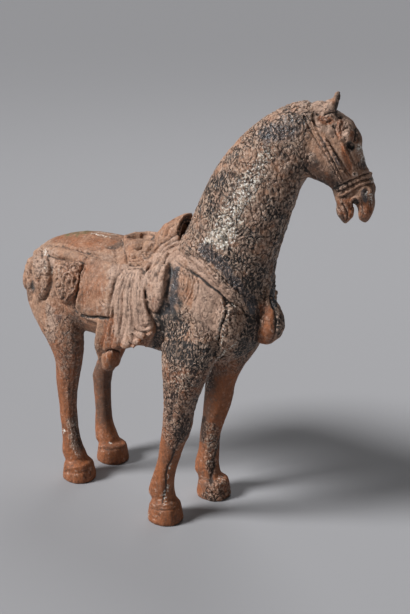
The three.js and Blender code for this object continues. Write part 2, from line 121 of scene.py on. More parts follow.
def addStudio():
    aim = Vector(camera["lookAt"])
    key = studio["key"]
    bpy.ops.object.light_add(type="SUN", location=aim + Vector(key["from"]) * 2)
    sun = bpy.context.object
    sun.name = "keyLight"
    sun.data.angle = math.radians(key["spread"])
    sun.data.energy = key["power"]
    sun.rotation_euler = (-Vector(key["from"])).to_track_quat("-Z", "Y").to_euler()
    for name in ("fill", "top"):
        light = studio[name]
        bpy.ops.object.light_add(type="AREA", location=light["place"])
        lamp = bpy.context.object
        lamp.name = name + "Light"
        lamp.data.shape = "DISK"
        lamp.data.size = light["size"]
        lamp.data.energy = light["power"]
        lamp.rotation_euler = (aim - lamp.location).to_track_quat("-Z", "Y").to_euler()
    world = bpy.data.worlds.new("paleRoom")
    world.use_nodes = True
    backdrop = world.node_tree.nodes["Background"]
    backdrop.inputs["Color"].default_value = (*studio["world"], 1)
    backdrop.inputs["Strength"].default_value = studio["worldStrength"]
    shown = world.node_tree.nodes.new("ShaderNodeBackground")
    shown.inputs["Color"].default_value = (*studio["roomShown"], 1)
    path = world.node_tree.nodes.new("ShaderNodeLightPath")
    mixed = world.node_tree.nodes.new("ShaderNodeMixShader")
    surface = world.node_tree.nodes["World Output"].inputs["Surface"]
    for source, socket in (
        (path.outputs["Is Camera Ray"], mixed.inputs[0]), (backdrop.outputs[0], mixed.inputs[1]),
        (shown.outputs[0], mixed.inputs[2]), (mixed.outputs[0], surface),
    ):
        world.node_tree.links.new(source, socket)
    bpy.context.scene.world = world
    bpy.context.scene.view_settings.view_transform = "Standard"
    bpy.ops.mesh.primitive_plane_add(size=studio["floorSize"])
    floor = bpy.context.object
    floor.name = "paleFloor"
    paper = bpy.data.materials.new("palePaper")
    paper.use_nodes = True
    shader = paper.node_tree.nodes["Principled BSDF"]
    shader.inputs["Base Color"].default_value = (*studio["floorColour"], 1)
    shader.inputs["Roughness"].default_value = 0.75
    floor.data.materials.append(paper)


addCamera()
addStudio()
print("stage: camera, lights and floor")


def pickOnly(piece):
    bpy.ops.object.select_all(action="DESELECT")
    piece.select_set(True)
    bpy.context.view_layer.objects.active = piece


def applyModifiers(piece):
    pickOnly(piece)
    for modifier in list(piece.modifiers):
        bpy.ops.object.modifier_apply(modifier=modifier.name)


def places(piece):
    flat = np.empty(len(piece.data.vertices) * 3, np.float32)
    piece.data.vertices.foreach_get("co", flat)
    return flat.reshape(-1, 3).astype(float)


def setPlaces(piece, points):
    piece.data.vertices.foreach_set("co", points.astype(np.float32).ravel())
    piece.data.update()


def normalsOf(piece):
    flat = np.empty(len(piece.data.vertices) * 3, np.float32)
    piece.data.vertex_normals.foreach_get("vector", flat)
    return flat.reshape(-1, 3).astype(float)


# Averages each point with its neighbours; the second, outward pass keeps the volume
def eased(points, edges, rounds, share=1.0):
    count = len(points)
    near, far = edges[:, 0], edges[:, 1]
    degree = np.bincount(near, minlength=count) + np.bincount(far, minlength=count)
    degree = np.maximum(degree, 1)[:, None]
    for step in range(rounds * 2):
        pull = 0.5 if step % 2 == 0 else -0.52
        total = np.stack([
            np.bincount(near, points[far, axis], count) + np.bincount(far, points[near, axis], count)
            for axis in range(3)
        ], 1)
        points = points + pull * share * (total / degree - points)
    return points


def edgesOf(piece):
    flat = np.empty(len(piece.data.edges) * 2, np.int32)
    piece.data.edges.foreach_get("vertices", flat)
    return flat.reshape(-1, 2)


def remesh(piece, voxel):
    modifier = piece.modifiers.new("skin", "REMESH")
    modifier.mode = "VOXEL"
    modifier.voxel_size = voxel
    modifier.use_smooth_shade = True
    applyModifiers(piece)


# The clay body starts from the frame's own solid, so that outline and pose are the same
body = {
    "firstVoxel": 2.0 * mm,
    "facetRounds": 30,
    "fineVoxel": 1.1 * mm,
    "quickVoxel": 1.5 * mm,
    "mostTriangles": 190000,
}

horse = bpy.data.objects.new("clayHorse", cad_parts["horse"].data.copy())
bpy.context.scene.collection.objects.link(horse)
pickOnly(horse)
bpy.ops.object.mode_set(mode="EDIT")
bpy.ops.mesh.select_all(action="SELECT")
bpy.ops.mesh.remove_doubles(threshold=0.00001)
bpy.ops.object.mode_set(mode="OBJECT")
remesh(horse, body["firstVoxel"])
setPlaces(horse, eased(places(horse), edgesOf(horse), body["facetRounds"]))
print("stage: smooth body", len(horse.data.vertices))

# The figure's halves mirror each other: the trunk in an upright plane, the head in the same plane
# turned to the left, and the neck in between
pose = {
    "middle": -2.35 * mm,
    "bendBase": (79.3 * mm, 320 * mm),
    "bendTop": (172.3 * mm, 485 * mm),
    "headPivot": (167.6 * mm, 21.3 * mm),
    "headTurn": 30,
    "tasselFront": 128 * mm,
    "tasselTop": 312 * mm,
    "tasselHalf": 16 * mm,
}


def nearSide(points):
    base = np.array(pose["bendBase"])
    run = np.array(pose["bendTop"]) - base
    share = np.clip((points[:, [0, 2]] - base) @ run / (run @ run), 0, 1)
    turn = np.radians(pose["headTurn"]) * share * share * (3 - 2 * share)
    pivot = np.array(pose["headPivot"])
    middleX = base[0] + (pivot[0] - base[0]) * share
    middleY = pose["middle"] + (pivot[1] - pose["middle"]) * share ** 2.7
    across = np.stack([-np.sin(turn), np.cos(turn), np.zeros(len(turn))], 1)
    off = (points[:, 0] - middleX) * across[:, 0] + (points[:, 1] - middleY) * across[:, 1]
    return off, across


# Points and normals of the far side, brought over to the near side; the tassel hangs in the middle
# and is drawn whole
def brought(points, normals):
    off, across = nearSide(points)
    tasselPart = points[:, 0] > pose["tasselFront"]
    tasselPart &= points[:, 2] < pose["tasselTop"]
    tasselPart &= np.abs(points[:, 1]) < pose["tasselHalf"]
    far = ((off > 0) & ~tasselPart)[:, None]
    moved = np.where(far, points - 2 * off[:, None] * across, points)
    along = np.sum(normals * across, 1)[:, None]
    turned = np.where(far, normals - 2 * along * across, normals)
    return moved, turned


def softStep(value, low, high):
    share = np.clip((value - low) / (high - low), 0, 1)
    return share * share * (3 - 2 * share)


# A smooth line through a few drawn points
def smoothLine(points, steps=5, closed=False):
    points = [Vector(point) for point in points]
    count = len(points)
    if count < 3:
        return np.array([tuple(point) for point in points])
    line = []
    for i in range(count if closed else count - 1):
        if closed:
            before, start, end, after = (points[(i + k) % count] for k in (-1, 0, 1, 2))
        else:
            before, start, end, after = (points[min(max(i + k, 0), count - 1)] for k in (-1, 0, 1, 2))
        for step in range(steps):
            t = step / steps
            line.append(tuple(
                0.5 * (2 * start + (end - before) * t + (2 * before - 5 * start + 4 * end - after) * t * t
                       + (3 * start - before - 3 * end + after) * t ** 3)
            ))
    if not closed:
        line.append(tuple(points[-1]))
    return np.array(line)


# Distance of each spot from a line, and how far along the line it lies
def lineDistance(spots, line):
    best = np.full(len(spots), 1e9)
    place = np.zeros(len(spots))
    for i, (start, end) in enumerate(zip(line[:-1], line[1:])):
        run = end - start
        share = np.clip((spots - start) @ run / max(run @ run, 1e-9), 0, 1)
        gap = np.linalg.norm(spots - (start + share[:, None] * run), axis=1)
        closer = gap < best
        best[closer] = gap[closer]
        place[closer] = (i + share[closer]) / (len(line) - 1)
    return best, place


def insideOutline(spots, outline):
    inside = np.zeros(len(spots), bool)
    for (x0, y0), (x1, y1) in zip(outline, np.roll(outline, -1, 0)):
        crosses = (y0 > spots[:, 1]) != (y1 > spots[:, 1])
        level = (x1 - x0) * (spots[:, 1] - y0) / (y1 - y0 + 1e-12) + x0
        inside ^= crosses & (spots[:, 0] < level)
    return inside


# A drawing is worked out once on a sheet over the frame, and each point of the clay reads it there
sheetStep = 0.5


def blankSheet(value=0.0):
    wide, tall = camera["framePixels"]
    return np.full((int(tall / sheetStep) + 1, int(wide / sheetStep) + 1), float(value))


def sheetBox(sheet, line, reach):
    low = np.maximum(((line.min(0) - reach) / sheetStep).astype(int), 0)
    high = np.minimum(((line.max(0) + reach) / sheetStep).astype(int) + 2, (sheet.shape[1], sheet.shape[0]))
    across, down = np.meshgrid(np.arange(low[0], high[0]), np.arange(low[1], high[1]))
    spots = np.stack([across.ravel(), down.ravel()], 1) * sheetStep
    return sheet[low[1]:high[1], low[0]:high[0]], spots


# A fixed unevenness that shifts drawn outlines, so that they turn out ragged
ragged = {
    "seed": 11,
    "layers": ((9.0, 1.0), (3.5, 0.7), (1.6, 0.45)),
    "relief": 0.55,
    "finish": 2.4,
    "strokes": 0.8,
}


def makeRaggedSheets():
    chance = np.random.default_rng(ragged["seed"])
    wide, tall = camera["framePixels"]
    sheets = []
    for grain, share in ragged["layers"]:
        size = (int(tall / grain) + 3, int(wide / grain) + 3)
        sheets.append((grain, share, chance.uniform(-1, 1, size), chance.uniform(-1, 1, size)))
    return sheets


raggedSheets = makeRaggedSheets()


def raggedShift(spots):
    shift = np.zeros(spots.shape)
    for grain, share, across, down in raggedSheets:
        place = spots / grain * sheetStep
        shift += share * np.stack([readSheet(across, place), readSheet(down, place)], 1)
    return shift


# Ridges and grooves: each stroke is rounded over its width and thins out at its ends
def drawStrokes(sheet, strokes, raggedness):
    for stroke in strokes:
        width = stroke["width"]
        for path in stroke["paths"]:
            line = smoothLine(path)
            part, spots = sheetBox(sheet, line, width * 4 + 2 * raggedness)
            gap, place = lineDistance(spots + raggedness * raggedShift(spots), line)
            fade = softStep(np.minimum(place, 1 - place), -0.02, 0.12)
            added = stroke["rise"] * np.exp(-(gap / width) ** 2)
            added -= stroke.get("ditch", 0) * np.exp(-(gap / (2.1 * width)) ** 2)
            part += (added * fade).reshape(part.shape)


# Raised or sunk patches with an outline, and a ditch that runs round outside it
def drawPatches(sheet, patches, raggedness):
    for patch in patches:
        edge = patch["edge"]
        for outline in patch["outlines"]:
            line = smoothLine(outline, steps=3, closed=True)
            part, spots = sheetBox(sheet, line, edge * 3 + 2 + 2 * raggedness)
            reach = patch.get("ragged", raggedness)
            if reach:
                spots = spots + reach * raggedShift(spots)
            gap, _ = lineDistance(spots, np.vstack([line, line[:1]]))
            gap = np.where(insideOutline(spots, line), gap, -gap)
            added = patch["rise"] * softStep(gap, -edge, edge)
            added -= patch.get("ditch", 0) * np.exp(-((gap + edge * 1.2) / (edge * 1.3)) ** 2)
            part += added.reshape(part.shape)


# Bumps and dents: x, y, half width, half height, rise
def drawDabs(sheet, dabs):
    for x, y, wide, tall, rise in dabs:
        part, spots = sheetBox(sheet, np.array([[x, y]]), 2.2 * max(wide, tall))
        gap = ((spots[:, 0] - x) / wide) ** 2 + ((spots[:, 1] - y) / tall) ** 2
        part += (rise * np.exp(-gap)).reshape(part.shape)


def drawAll(sheet, drawing, raggedness):
    drawPatches(sheet, drawing.get("patches", []), raggedness)
    drawStrokes(sheet, drawing.get("strokes", []), min(raggedness, ragged["strokes"]))
    drawDabs(sheet, drawing.get("dabs", []))
    return sheet


def readSheet(sheet, spots):
    spots = np.clip(spots / sheetStep, 0, np.array(sheet.shape[::-1]) - 1.001)
    cell = spots.astype(int)
    part = spots - cell
    x, y = cell[:, 0], cell[:, 1]
    above = sheet[y, x] * (1 - part[:, 0]) + sheet[y, x + 1] * part[:, 0]
    below = sheet[y + 1, x] * (1 - part[:, 0]) + sheet[y + 1, x + 1] * part[:, 0]
    return above * (1 - part[:, 1]) + below * part[:, 1]


# Pushes the soft body across the line of sight: x, y, reach, right, down, all in pixels
pushes = (
    (315, 106, 7, 0.5, -2.2), (324, 105, 5, 0, -2.2), (308, 103, 4, 0.5, -0.4),
    (356, 203, 3.2, 3.0, -2.6), (357.5, 209, 3.4, 1.2, 0), (338, 214, 4, -0.8, 0.4), (350.5, 214, 3, 2.2, 0.6),
    (350, 219, 3, 2.0, 0.5), (361, 215, 3, -1.6, 0), (360.5, 220, 3, -1.6, 0.3),
    (330, 99, 3.2, 1.4, 0.8), (325.5, 101, 3.6, 1.2, 2.0), (329, 97.5, 3.0, 1.6, 1.0),
    (341, 104, 3, -1.0, 0),
)


def pushed(points):
    moved, _ = brought(points, points * 0)
    spots = photoSpots(moved)
    back = np.array(towardsCamera())
    right = np.cross(-back, (0, 0, 1))
    right /= np.linalg.norm(right)
    up = np.cross(right, -back)
    shift = np.zeros((len(points), 3))
    for x, y, reach, toRight, down in pushes:
        share = np.exp(-((spots[:, 0] - x) ** 2 + (spots[:, 1] - y) ** 2) / reach ** 2)[:, None]
        shift += share * (toRight * right - down * up)
    shift *= camera["distance"] / camera["focalPixels"]
    off, across = nearSide(points)
    along = np.sum(shift * across, 1)[:, None]
    return points + np.where((off > 0)[:, None], shift - 2 * along * across, shift)


setPlaces(horse, pushed(places(horse)))

# Everything below is drawn in the photograph's pixels and laid on the clay from there,
# depths in millimetres; the far side gets it mirrored
saddle = {
    "patches": [
        {"rise": 1.4, "edge": 1.2, "ditch": 1.0, "outlines": [
            [(98, 251), (91, 254), (86, 262), (82, 271), (80.5, 282), (78.9, 292), (76.4, 301), (76.8, 308.5),
             (80.5, 312.8), (87, 314.8), (100, 315.5), (111, 316), (112, 300), (113, 280), (115, 262), (112, 250)],
        ]},
        {"rise": -1.6, "edge": 3.4, "outlines": [
            [(106, 247), (113, 243), (119, 241), (123, 243), (122, 247), (116, 249), (110, 250)],
        ]},
        {"rise": 3.0, "edge": 1.4, "ditch": 1.2, "outlines": [
            [(124.5, 236.5), (131, 235.2), (137, 237.8), (146, 240.8), (153, 241.5), (150, 249), (145.5, 256.5),
             (137, 258), (128, 257), (125.5, 248)],
        ]},
        {"rise": -4.2, "edge": 1.6, "outlines": [
            [(137, 233), (143, 231.6), (150, 231.8), (153.5, 233.5), (153, 238), (147, 238.8), (141, 236.8)],
        ]},
        {"rise": -3.4, "edge": 2.8, "outlines": [
            [(178.5, 231), (181, 224), (185.5, 218), (190.5, 215.5), (191.5, 219), (188.5, 226), (184, 233),
             (180, 236)],
        ]},
    ],
    "strokes": [
        {"rise": -2.5, "width": 1.3, "paths": [[(79.5, 315), (87, 317), (98, 317.8), (111, 318)]]},
        {"rise": -2.6, "width": 1.1, "paths": [
            [(91, 253), (84.6, 262), (81, 271), (79, 282), (77.2, 291.5), (74.8, 300.5), (75, 309), (79.5, 314.6)],
        ]},
        {"rise": 1.4, "width": 1.3, "paths": [
            [(93, 254), (86.5, 263), (83.5, 272), (82, 283), (80.2, 294), (78.2, 302), (79, 309)],
        ]},
        {"rise": 0.9, "width": 1.3, "paths": [
            [(90, 232.5), (101, 235), (112, 237.8)],
        ]},
        {"rise": 1.6, "width": 1.0, "paths": [
            [(136, 232.5), (141, 230.4), (147, 230.8), (153, 231.6)],
            [(144, 233.6), (148, 232.6), (152, 233.8)],
            [(176.5, 232), (178.5, 224), (183.5, 216.5), (190, 213.6)],
        ]},
        {"rise": 2.3, "width": 1.2, "paths": [
            [(128.5, 258.5), (136, 260), (144.5, 257)],
            [(128, 262.5), (136, 263.3), (143.5, 261)],
            [(128.4, 266.3), (133, 267.3), (139, 266.3)],
        ]},
        {"rise": -2.3, "width": 0.9, "paths": [
            [(128, 260.5), (136, 261.8), (144, 259.3)],
            [(128, 264.6), (136, 265.4), (142, 263.6)],
            [(128, 268.4), (133, 269.3), (139, 268.2)],
            [(128, 256.6), (136, 258), (145, 255)],
        ]},
        {"rise": -1.9, "width": 1.1, "paths": [
            [(124, 236), (123.6, 245), (125.8, 256), (126, 266)],
            [(153.8, 241), (149.8, 249), (145.4, 256)],
            [(180, 232), (174, 236), (162.6, 243.5), (153.5, 251.5), (147, 259)],
            [(160.5, 236.5), (164, 229), (170, 222), (176, 217)],
            [(165.5, 237), (169, 230), (175, 223.5)],
        ]},
    ],
    "dabs": [(136, 246, 9, 8, 1.6), (168, 228, 6, 7, 2.2), (150, 236, 1.6, 1.2, 1.6), (142, 233, 1.4, 1.0, 1.4)],
}

crupper = {
    "patches": [
        {"rise": 0.8, "edge": 0.9, "outlines": [
            [(44, 249), (56, 248.5), (70, 250.5), (84, 254), (96, 256.5), (90, 264), (79, 261.5), (62, 259), (47, 254.5)],
        ]},
    ],
    "strokes": [
        {"rise": -2.3, "width": 1.0, "paths": [
            [(42, 247), (49.5, 245.5), (56, 246), (63, 247.2), (75.6, 250.5), (87, 253), (97, 254.8), (103.5, 255.5)],
            [(46, 254), (52, 257), (60, 259), (68, 260.5), (79, 262), (88, 265.5)],
            [(41.2, 250), (42, 256), (43, 263)],
            [(47.5, 250), (48, 256), (48.6, 261)],
        ]},
        {"rise": 1.0, "width": 1.2, "paths": [
            [(46, 244), (56, 243.8), (66, 245.2), (78, 248.5), (90, 251.5), (103, 253.5)],
            [(44, 247), (45, 254), (46, 262)],
        ]},
    ],
}

leaves = {
    "patches": [
        {"rise": 1.9, "edge": 1.3, "ditch": 1.1, "outlines": [
            [(57.5, 262.2), (64, 260.6), (73, 261.3), (80.3, 262.6), (82.3, 268.6), (81.8, 278.6), (79, 288.7),
             (73.6, 296.7), (66, 303), (60.2, 300.1), (56.2, 294), (54.5, 285.3), (53.6, 275.3), (54.6, 266)],
            [(33.5, 262), (36, 257), (42, 257), (48, 261), (50.2, 268), (50.6, 276), (49.2, 286), (46.2, 293.5),
             (43, 298.3), (39.5, 296.5), (36, 290), (33.6, 282), (32.5, 273)],
            [(26, 266), (30, 264), (31.6, 272), (31.6, 284), (31.4, 294), (30, 298.5), (28, 292), (26.5, 280)],
        ]},
        {"rise": 1.5, "edge": 1.0, "ditch": 1.6, "outlines": [
            [(226, 306), (232, 304.5), (241, 309), (245.5, 317), (245.8, 322), (242.8, 330), (236.7, 340),
             (229, 349), (219.5, 356.5), (216, 352), (219, 342), (219.3, 334), (221, 327.5), (224, 320.5),
             (226.6, 315)],
        ]},
    ],
    "strokes": [
        {"rise": 3.8, "width": 1.15, "ditch": 2.6, "paths": [
            [(62.5, 292), (63, 281), (66.5, 273.5), (71, 272.5), (74, 277), (73, 287)],
            [(67.5, 291), (67.6, 283), (69.8, 278)],
            [(57, 271), (61, 266.6), (66, 267), (68.5, 270)],
            [(69.5, 267.6), (74, 265), (79, 266.4), (79, 270.5), (75, 271.5)],
            [(56, 281), (58.4, 276.5), (61, 279), (60, 284.5), (57, 285.5)],
            [(58, 292), (60.4, 288.4), (63, 292), (61.2, 297), (58.8, 296)],
            [(66, 300), (69, 295), (73.5, 291.5), (76, 286.5)],
            [(77, 284), (79, 277.5), (78.6, 273)],
            [(36, 262), (39.5, 259.8), (43.5, 261.5), (43, 265.5), (38.5, 266)],
            [(46, 265), (48.3, 269), (47.5, 274), (44.5, 273)],
            [(35.5, 271), (38.5, 269.5), (41.5, 272), (40.5, 277), (37, 277.5), (35.5, 275)],
            [(45, 278), (47.6, 281.5), (45.5, 287), (42.5, 284)],
            [(36.5, 282), (39, 286), (38.5, 291), (41, 295)],
            [(28, 270), (30.3, 274), (28.4, 279), (30.4, 284), (29, 290)],
        ]},
        {"rise": 2.4, "width": 1.0, "ditch": 1.6, "paths": [
            [(234, 310), (239, 313), (241.5, 318), (240, 323), (236.5, 320), (237.5, 316)],
            [(230, 316), (228, 322), (230.5, 326), (233.5, 323)],
            [(226, 327), (224.5, 333), (227.5, 336), (231, 332)],
            [(237, 327), (238, 332), (234, 337), (231.5, 341)],
            [(223, 340), (221.5, 346), (224.5, 348), (228, 343)],
        ]},
        {"rise": -2.0, "width": 0.9, "paths": [
            [(223.4, 297), (226.6, 306), (225.8, 316), (220.8, 328), (218.6, 344), (217.5, 355)],
        ]},
        {"rise": 1.5, "width": 1.0, "paths": [
            [(221, 298), (223.6, 307), (222.8, 317), (218, 328), (216, 343)],
        ]},
        {"rise": 2.2, "width": 1.1, "ditch": 1.0, "paths": [
            [(238, 341), (230.7, 347.5), (223, 353.5), (216.6, 360), (211.5, 371), (208, 380)],
        ]},
        {"rise": -1.2, "width": 0.9, "paths": [
            [(231.4, 306.4), (235, 308.4), (235.6, 312), (231.4, 314.8), (227.4, 312), (227.8, 308.4), (231.4, 306.4)],
        ]},
    ],
    "dabs": [
        (231.4, 310.6, 1.8, 1.8, 1.4), (58, 287.5, 1.4, 1.4, -1.4), (65, 287, 1.2, 2.4, -1.4),
        (70.5, 284, 1.2, 3, -1.4), (76, 279, 1.4, 2, -1.2), (64, 270, 1.6, 1.2, -1.4), (40, 281, 1.4, 1.4, -1.4),
    ],
}

# The upright folds fan out between the cloth's left edge and the line where its ruffles start
foldEdges = (
    [(125.5, 269), (117, 285), (113.5, 303), (111.5, 322), (106, 348)],
    [(142, 269), (142.5, 285), (142.5, 300), (145, 311), (146.5, 318)],
)


def foldPaths(first, last, count):
    left, right = (np.array(edge) for edge in foldEdges)
    shares = np.linspace(first, last, count)
    return [left * (1 - share) + right * share for share in shares]


cloth = {
    "patches": [
        {"rise": 1.6, "edge": 1.1, "ditch": 1.6, "outlines": [
            [(126, 268), (118.5, 277), (114.5, 288), (112.3, 300), (110.5, 312), (108.5, 324), (105.8, 338),
             (102.8, 350), (108, 350.8), (114.5, 350.3), (122.6, 352.5), (130, 352), (138, 352.5), (145.5, 349.5),
             (150.5, 341.5), (153.5, 335.5), (154.3, 328.5), (152, 320.5), (147, 311.5), (143, 300), (145, 287),
             (143, 272), (137, 268.4)],
            [(103, 354.5), (107.5, 351.3), (114, 351), (121, 353), (123.5, 358), (120.5, 365), (115, 370.5),
             (108.5, 372), (104, 368), (101.8, 361)],
        ]},
        {"rise": 2.2, "edge": 1.3, "ditch": 1.8, "outlines": [
            [(146, 273), (152, 268), (160, 263), (169, 266), (168.5, 274), (166.5, 282), (165, 290), (162.6, 298),
             (159.5, 307), (154.3, 312), (150, 307.5), (148.5, 299.5), (145.6, 289), (144.8, 280)],
        ]},
        {"rise": -4.5, "edge": 2.4, "outlines": [
            [(155, 315), (160, 311), (166, 304), (168, 314), (164.5, 330), (162, 344), (157, 347), (154, 343),
             (157, 334), (157.5, 326)],
        ]},
        {"rise": -1.6, "edge": 5, "outlines": [
            [(169, 269), (180, 267), (181, 280), (179.5, 292), (178, 302), (172, 315), (164, 312),
             (166, 299), (168, 288), (169, 278)],
        ]},
    ],
    "strokes": [
        {"rise": -0.65, "width": 1.0, "paths": foldPaths(0.04, 0.95, 7)},
        {"rise": 0.7, "width": 1.4, "paths": foldPaths(0.11, 0.88, 6)},
        {"rise": -1.1, "width": 1.3, "paths": [foldPaths(0.3, 0.42, 1)[0], foldPaths(0.72, 0.66, 1)[0]]},
        {"rise": -2.0, "width": 1.2, "paths": [
            [(137.4, 318), (140, 324), (145, 326.8), (150.5, 325.5)],
            [(134.5, 327.5), (138.5, 331.5), (145, 332.8), (151, 331)],
            [(131.5, 333), (136, 338), (142.5, 340), (148.5, 338.5)],
            [(128, 340.5), (133.5, 344.8), (140, 346.3), (145.5, 345)],
        ]},
        {"rise": 1.4, "width": 1.3, "paths": [
            [(139.5, 318.5), (143, 322.6), (149.5, 322)],
            [(136, 326), (141, 329.3), (150.5, 328.4)],
            [(133, 331.5), (138.5, 335.5), (149.5, 335)],
            [(130, 338), (136, 342), (147, 342)],
        ]},
        {"rise": -2.8, "width": 1.2, "paths": [
            [(102.6, 355), (107.5, 351), (114.2, 350.3), (123, 353)],
        ]},
        {"rise": -1.2, "width": 1.1, "paths": [
            [(182.5, 244), (172, 247.5), (163.7, 252.5), (157.5, 262), (150, 275)],
            [(177, 248.5), (168, 254.5), (163.5, 264.5), (158.5, 277), (157.3, 289)],
            [(186, 238), (176, 240.5), (166, 246), (158, 255), (149.5, 266.5), (145, 274)],
            [(181, 252), (172.5, 257.5), (168.5, 268), (166, 281), (163.5, 294)],
        ]},
        {"rise": 1.3, "width": 1.3, "paths": [
            [(184.5, 241), (174, 244), (165, 249), (158, 258), (148.5, 270)],
            [(180, 246.5), (170, 251), (163.5, 258.5), (157.5, 270), (153.5, 281)],
            [(179, 250.5), (170.5, 256), (166, 266), (162, 279), (160.5, 291)],
            [(141.5, 299), (146, 300.5), (150, 297.5)],
        ]},
        {"rise": 2.4, "width": 0.9, "ditch": 1.6, "paths": [
            [(181, 272), (184, 277), (183.5, 284), (180.5, 290)],
            [(185.5, 270), (188.5, 276), (188, 284), (184.5, 293)],
            [(190, 272), (193, 279), (192, 288), (188, 297), (185, 303)],
            [(195, 277), (197.5, 285), (196, 294), (192, 301)],
            [(101.5, 300), (103.5, 304), (107, 305.5), (106, 309)],
        ]},
    ],
    "dabs": [
        (180.5, 303, 3.2, 6.5, -1.2), (187, 284, 8, 11, 2.4), (112, 360, 7, 7, 1.0),
        (104.5, 305, 1.6, 2.6, 0.8), (173.5, 268, 2.4, 2.6, 1.6), (176, 296, 1.4, 3, -1.4),
        (205, 306, 15, 17, 1.2),
    ],
}

breastStrap = {
    "strokes": [
        {"rise": -1.9, "width": 1.2, "paths": [
            [(180, 238.5), (188, 246), (196, 253), (212, 269), (228, 281.8), (240.6, 292.8), (249, 299)],
            [(173, 260), (179, 264), (186, 269.5), (193, 273), (204, 281), (220, 292.5), (228, 301.5), (239, 308)],
        ]},
        {"rise": 0.9, "width": 1.2, "paths": [
            [(181, 242), (188, 249), (198, 257.5), (212, 272.5), (227, 285.5), (240, 296), (247, 300.5)],
            [(183, 252), (191, 258), (200, 265.5), (211, 276.5), (219, 284)],
            [(176, 255.5), (187, 264.5), (197, 271), (209, 282), (224, 295.5), (238, 305)],
            [(204, 274), (214, 282.5), (226, 292.5), (236, 301)],
        ]},
        {"rise": -1.0, "width": 0.8, "paths": [
            [(181 + 8.2 * i, 247 + 7.1 * i), (187.5 + 8.2 * i, 250.6 + 7.1 * i), (193 + 8.2 * i, 256 + 7.1 * i)]
            for i in range(7)
        ]},
        {"rise": -0.9, "width": 0.7, "paths": [
            [(178 + 9.6 * i, 253.6 + 8 * i), (184.5 + 9.6 * i, 257 + 8 * i), (191 + 9.6 * i, 263.6 + 8 * i)]
            for i in range(6)
        ]},
    ],
}

tassel = {
    "strokes": [
        {"rise": -2.4, "width": 1.2, "paths": [
            [(270, 290), (271, 302), (275, 311), (276.2, 325), (274, 337), (268.5, 345)],
            [(257.8, 306), (258, 322), (256.5, 336), (256, 349)],
        ]},
        {"rise": 1.1, "width": 1.1, "paths": [
            [(261.5, 284), (262.2, 298), (262.6, 308)],
            [(266.5, 284), (267.5, 298), (267.5, 307)],
        ]},
        {"rise": -1.0, "width": 0.8, "paths": [
            [(264, 284), (264.8, 296), (264.5, 308)],
        ]},
        {"rise": 1.6, "width": 0.8, "ditch": 1.2, "paths": [
            [(277.5, 309), (280, 312.5), (278, 316.5), (280.5, 320)],
            [(281.5, 309), (284.5, 313.5), (283.5, 318), (285.4, 322)],
            [(277.8, 322), (280.8, 325), (278, 329.5)],
            [(282.5, 325.5), (284.2, 329), (281, 332.5), (278, 336)],
        ]},
    ],
    "dabs": [(266, 327, 7, 14, 1.6)],
}

neckRelief = {
    "strokes": [
        {"rise": 1.4, "width": 1.2, "paths": [
            [(295, 203), (290, 219), (284, 236), (278.9, 251), (273.5, 267), (269.5, 283), (266.5, 300)],
        ]},
        {"rise": -1.2, "width": 1.0, "paths": [
            [(291.5, 203), (286.5, 219), (280.5, 236), (275.3, 251), (270, 267), (266, 283)],
            [(283, 214), (276, 236), (270, 256), (264, 274)],
        ]},
    ],
    "dabs": [(225.5, 240.8, 2.6, 4.2, -3.6), (229.4, 259.2, 1.8, 1.8, -2.2), (213, 208, 1.6, 1.6, -1.2)],
}

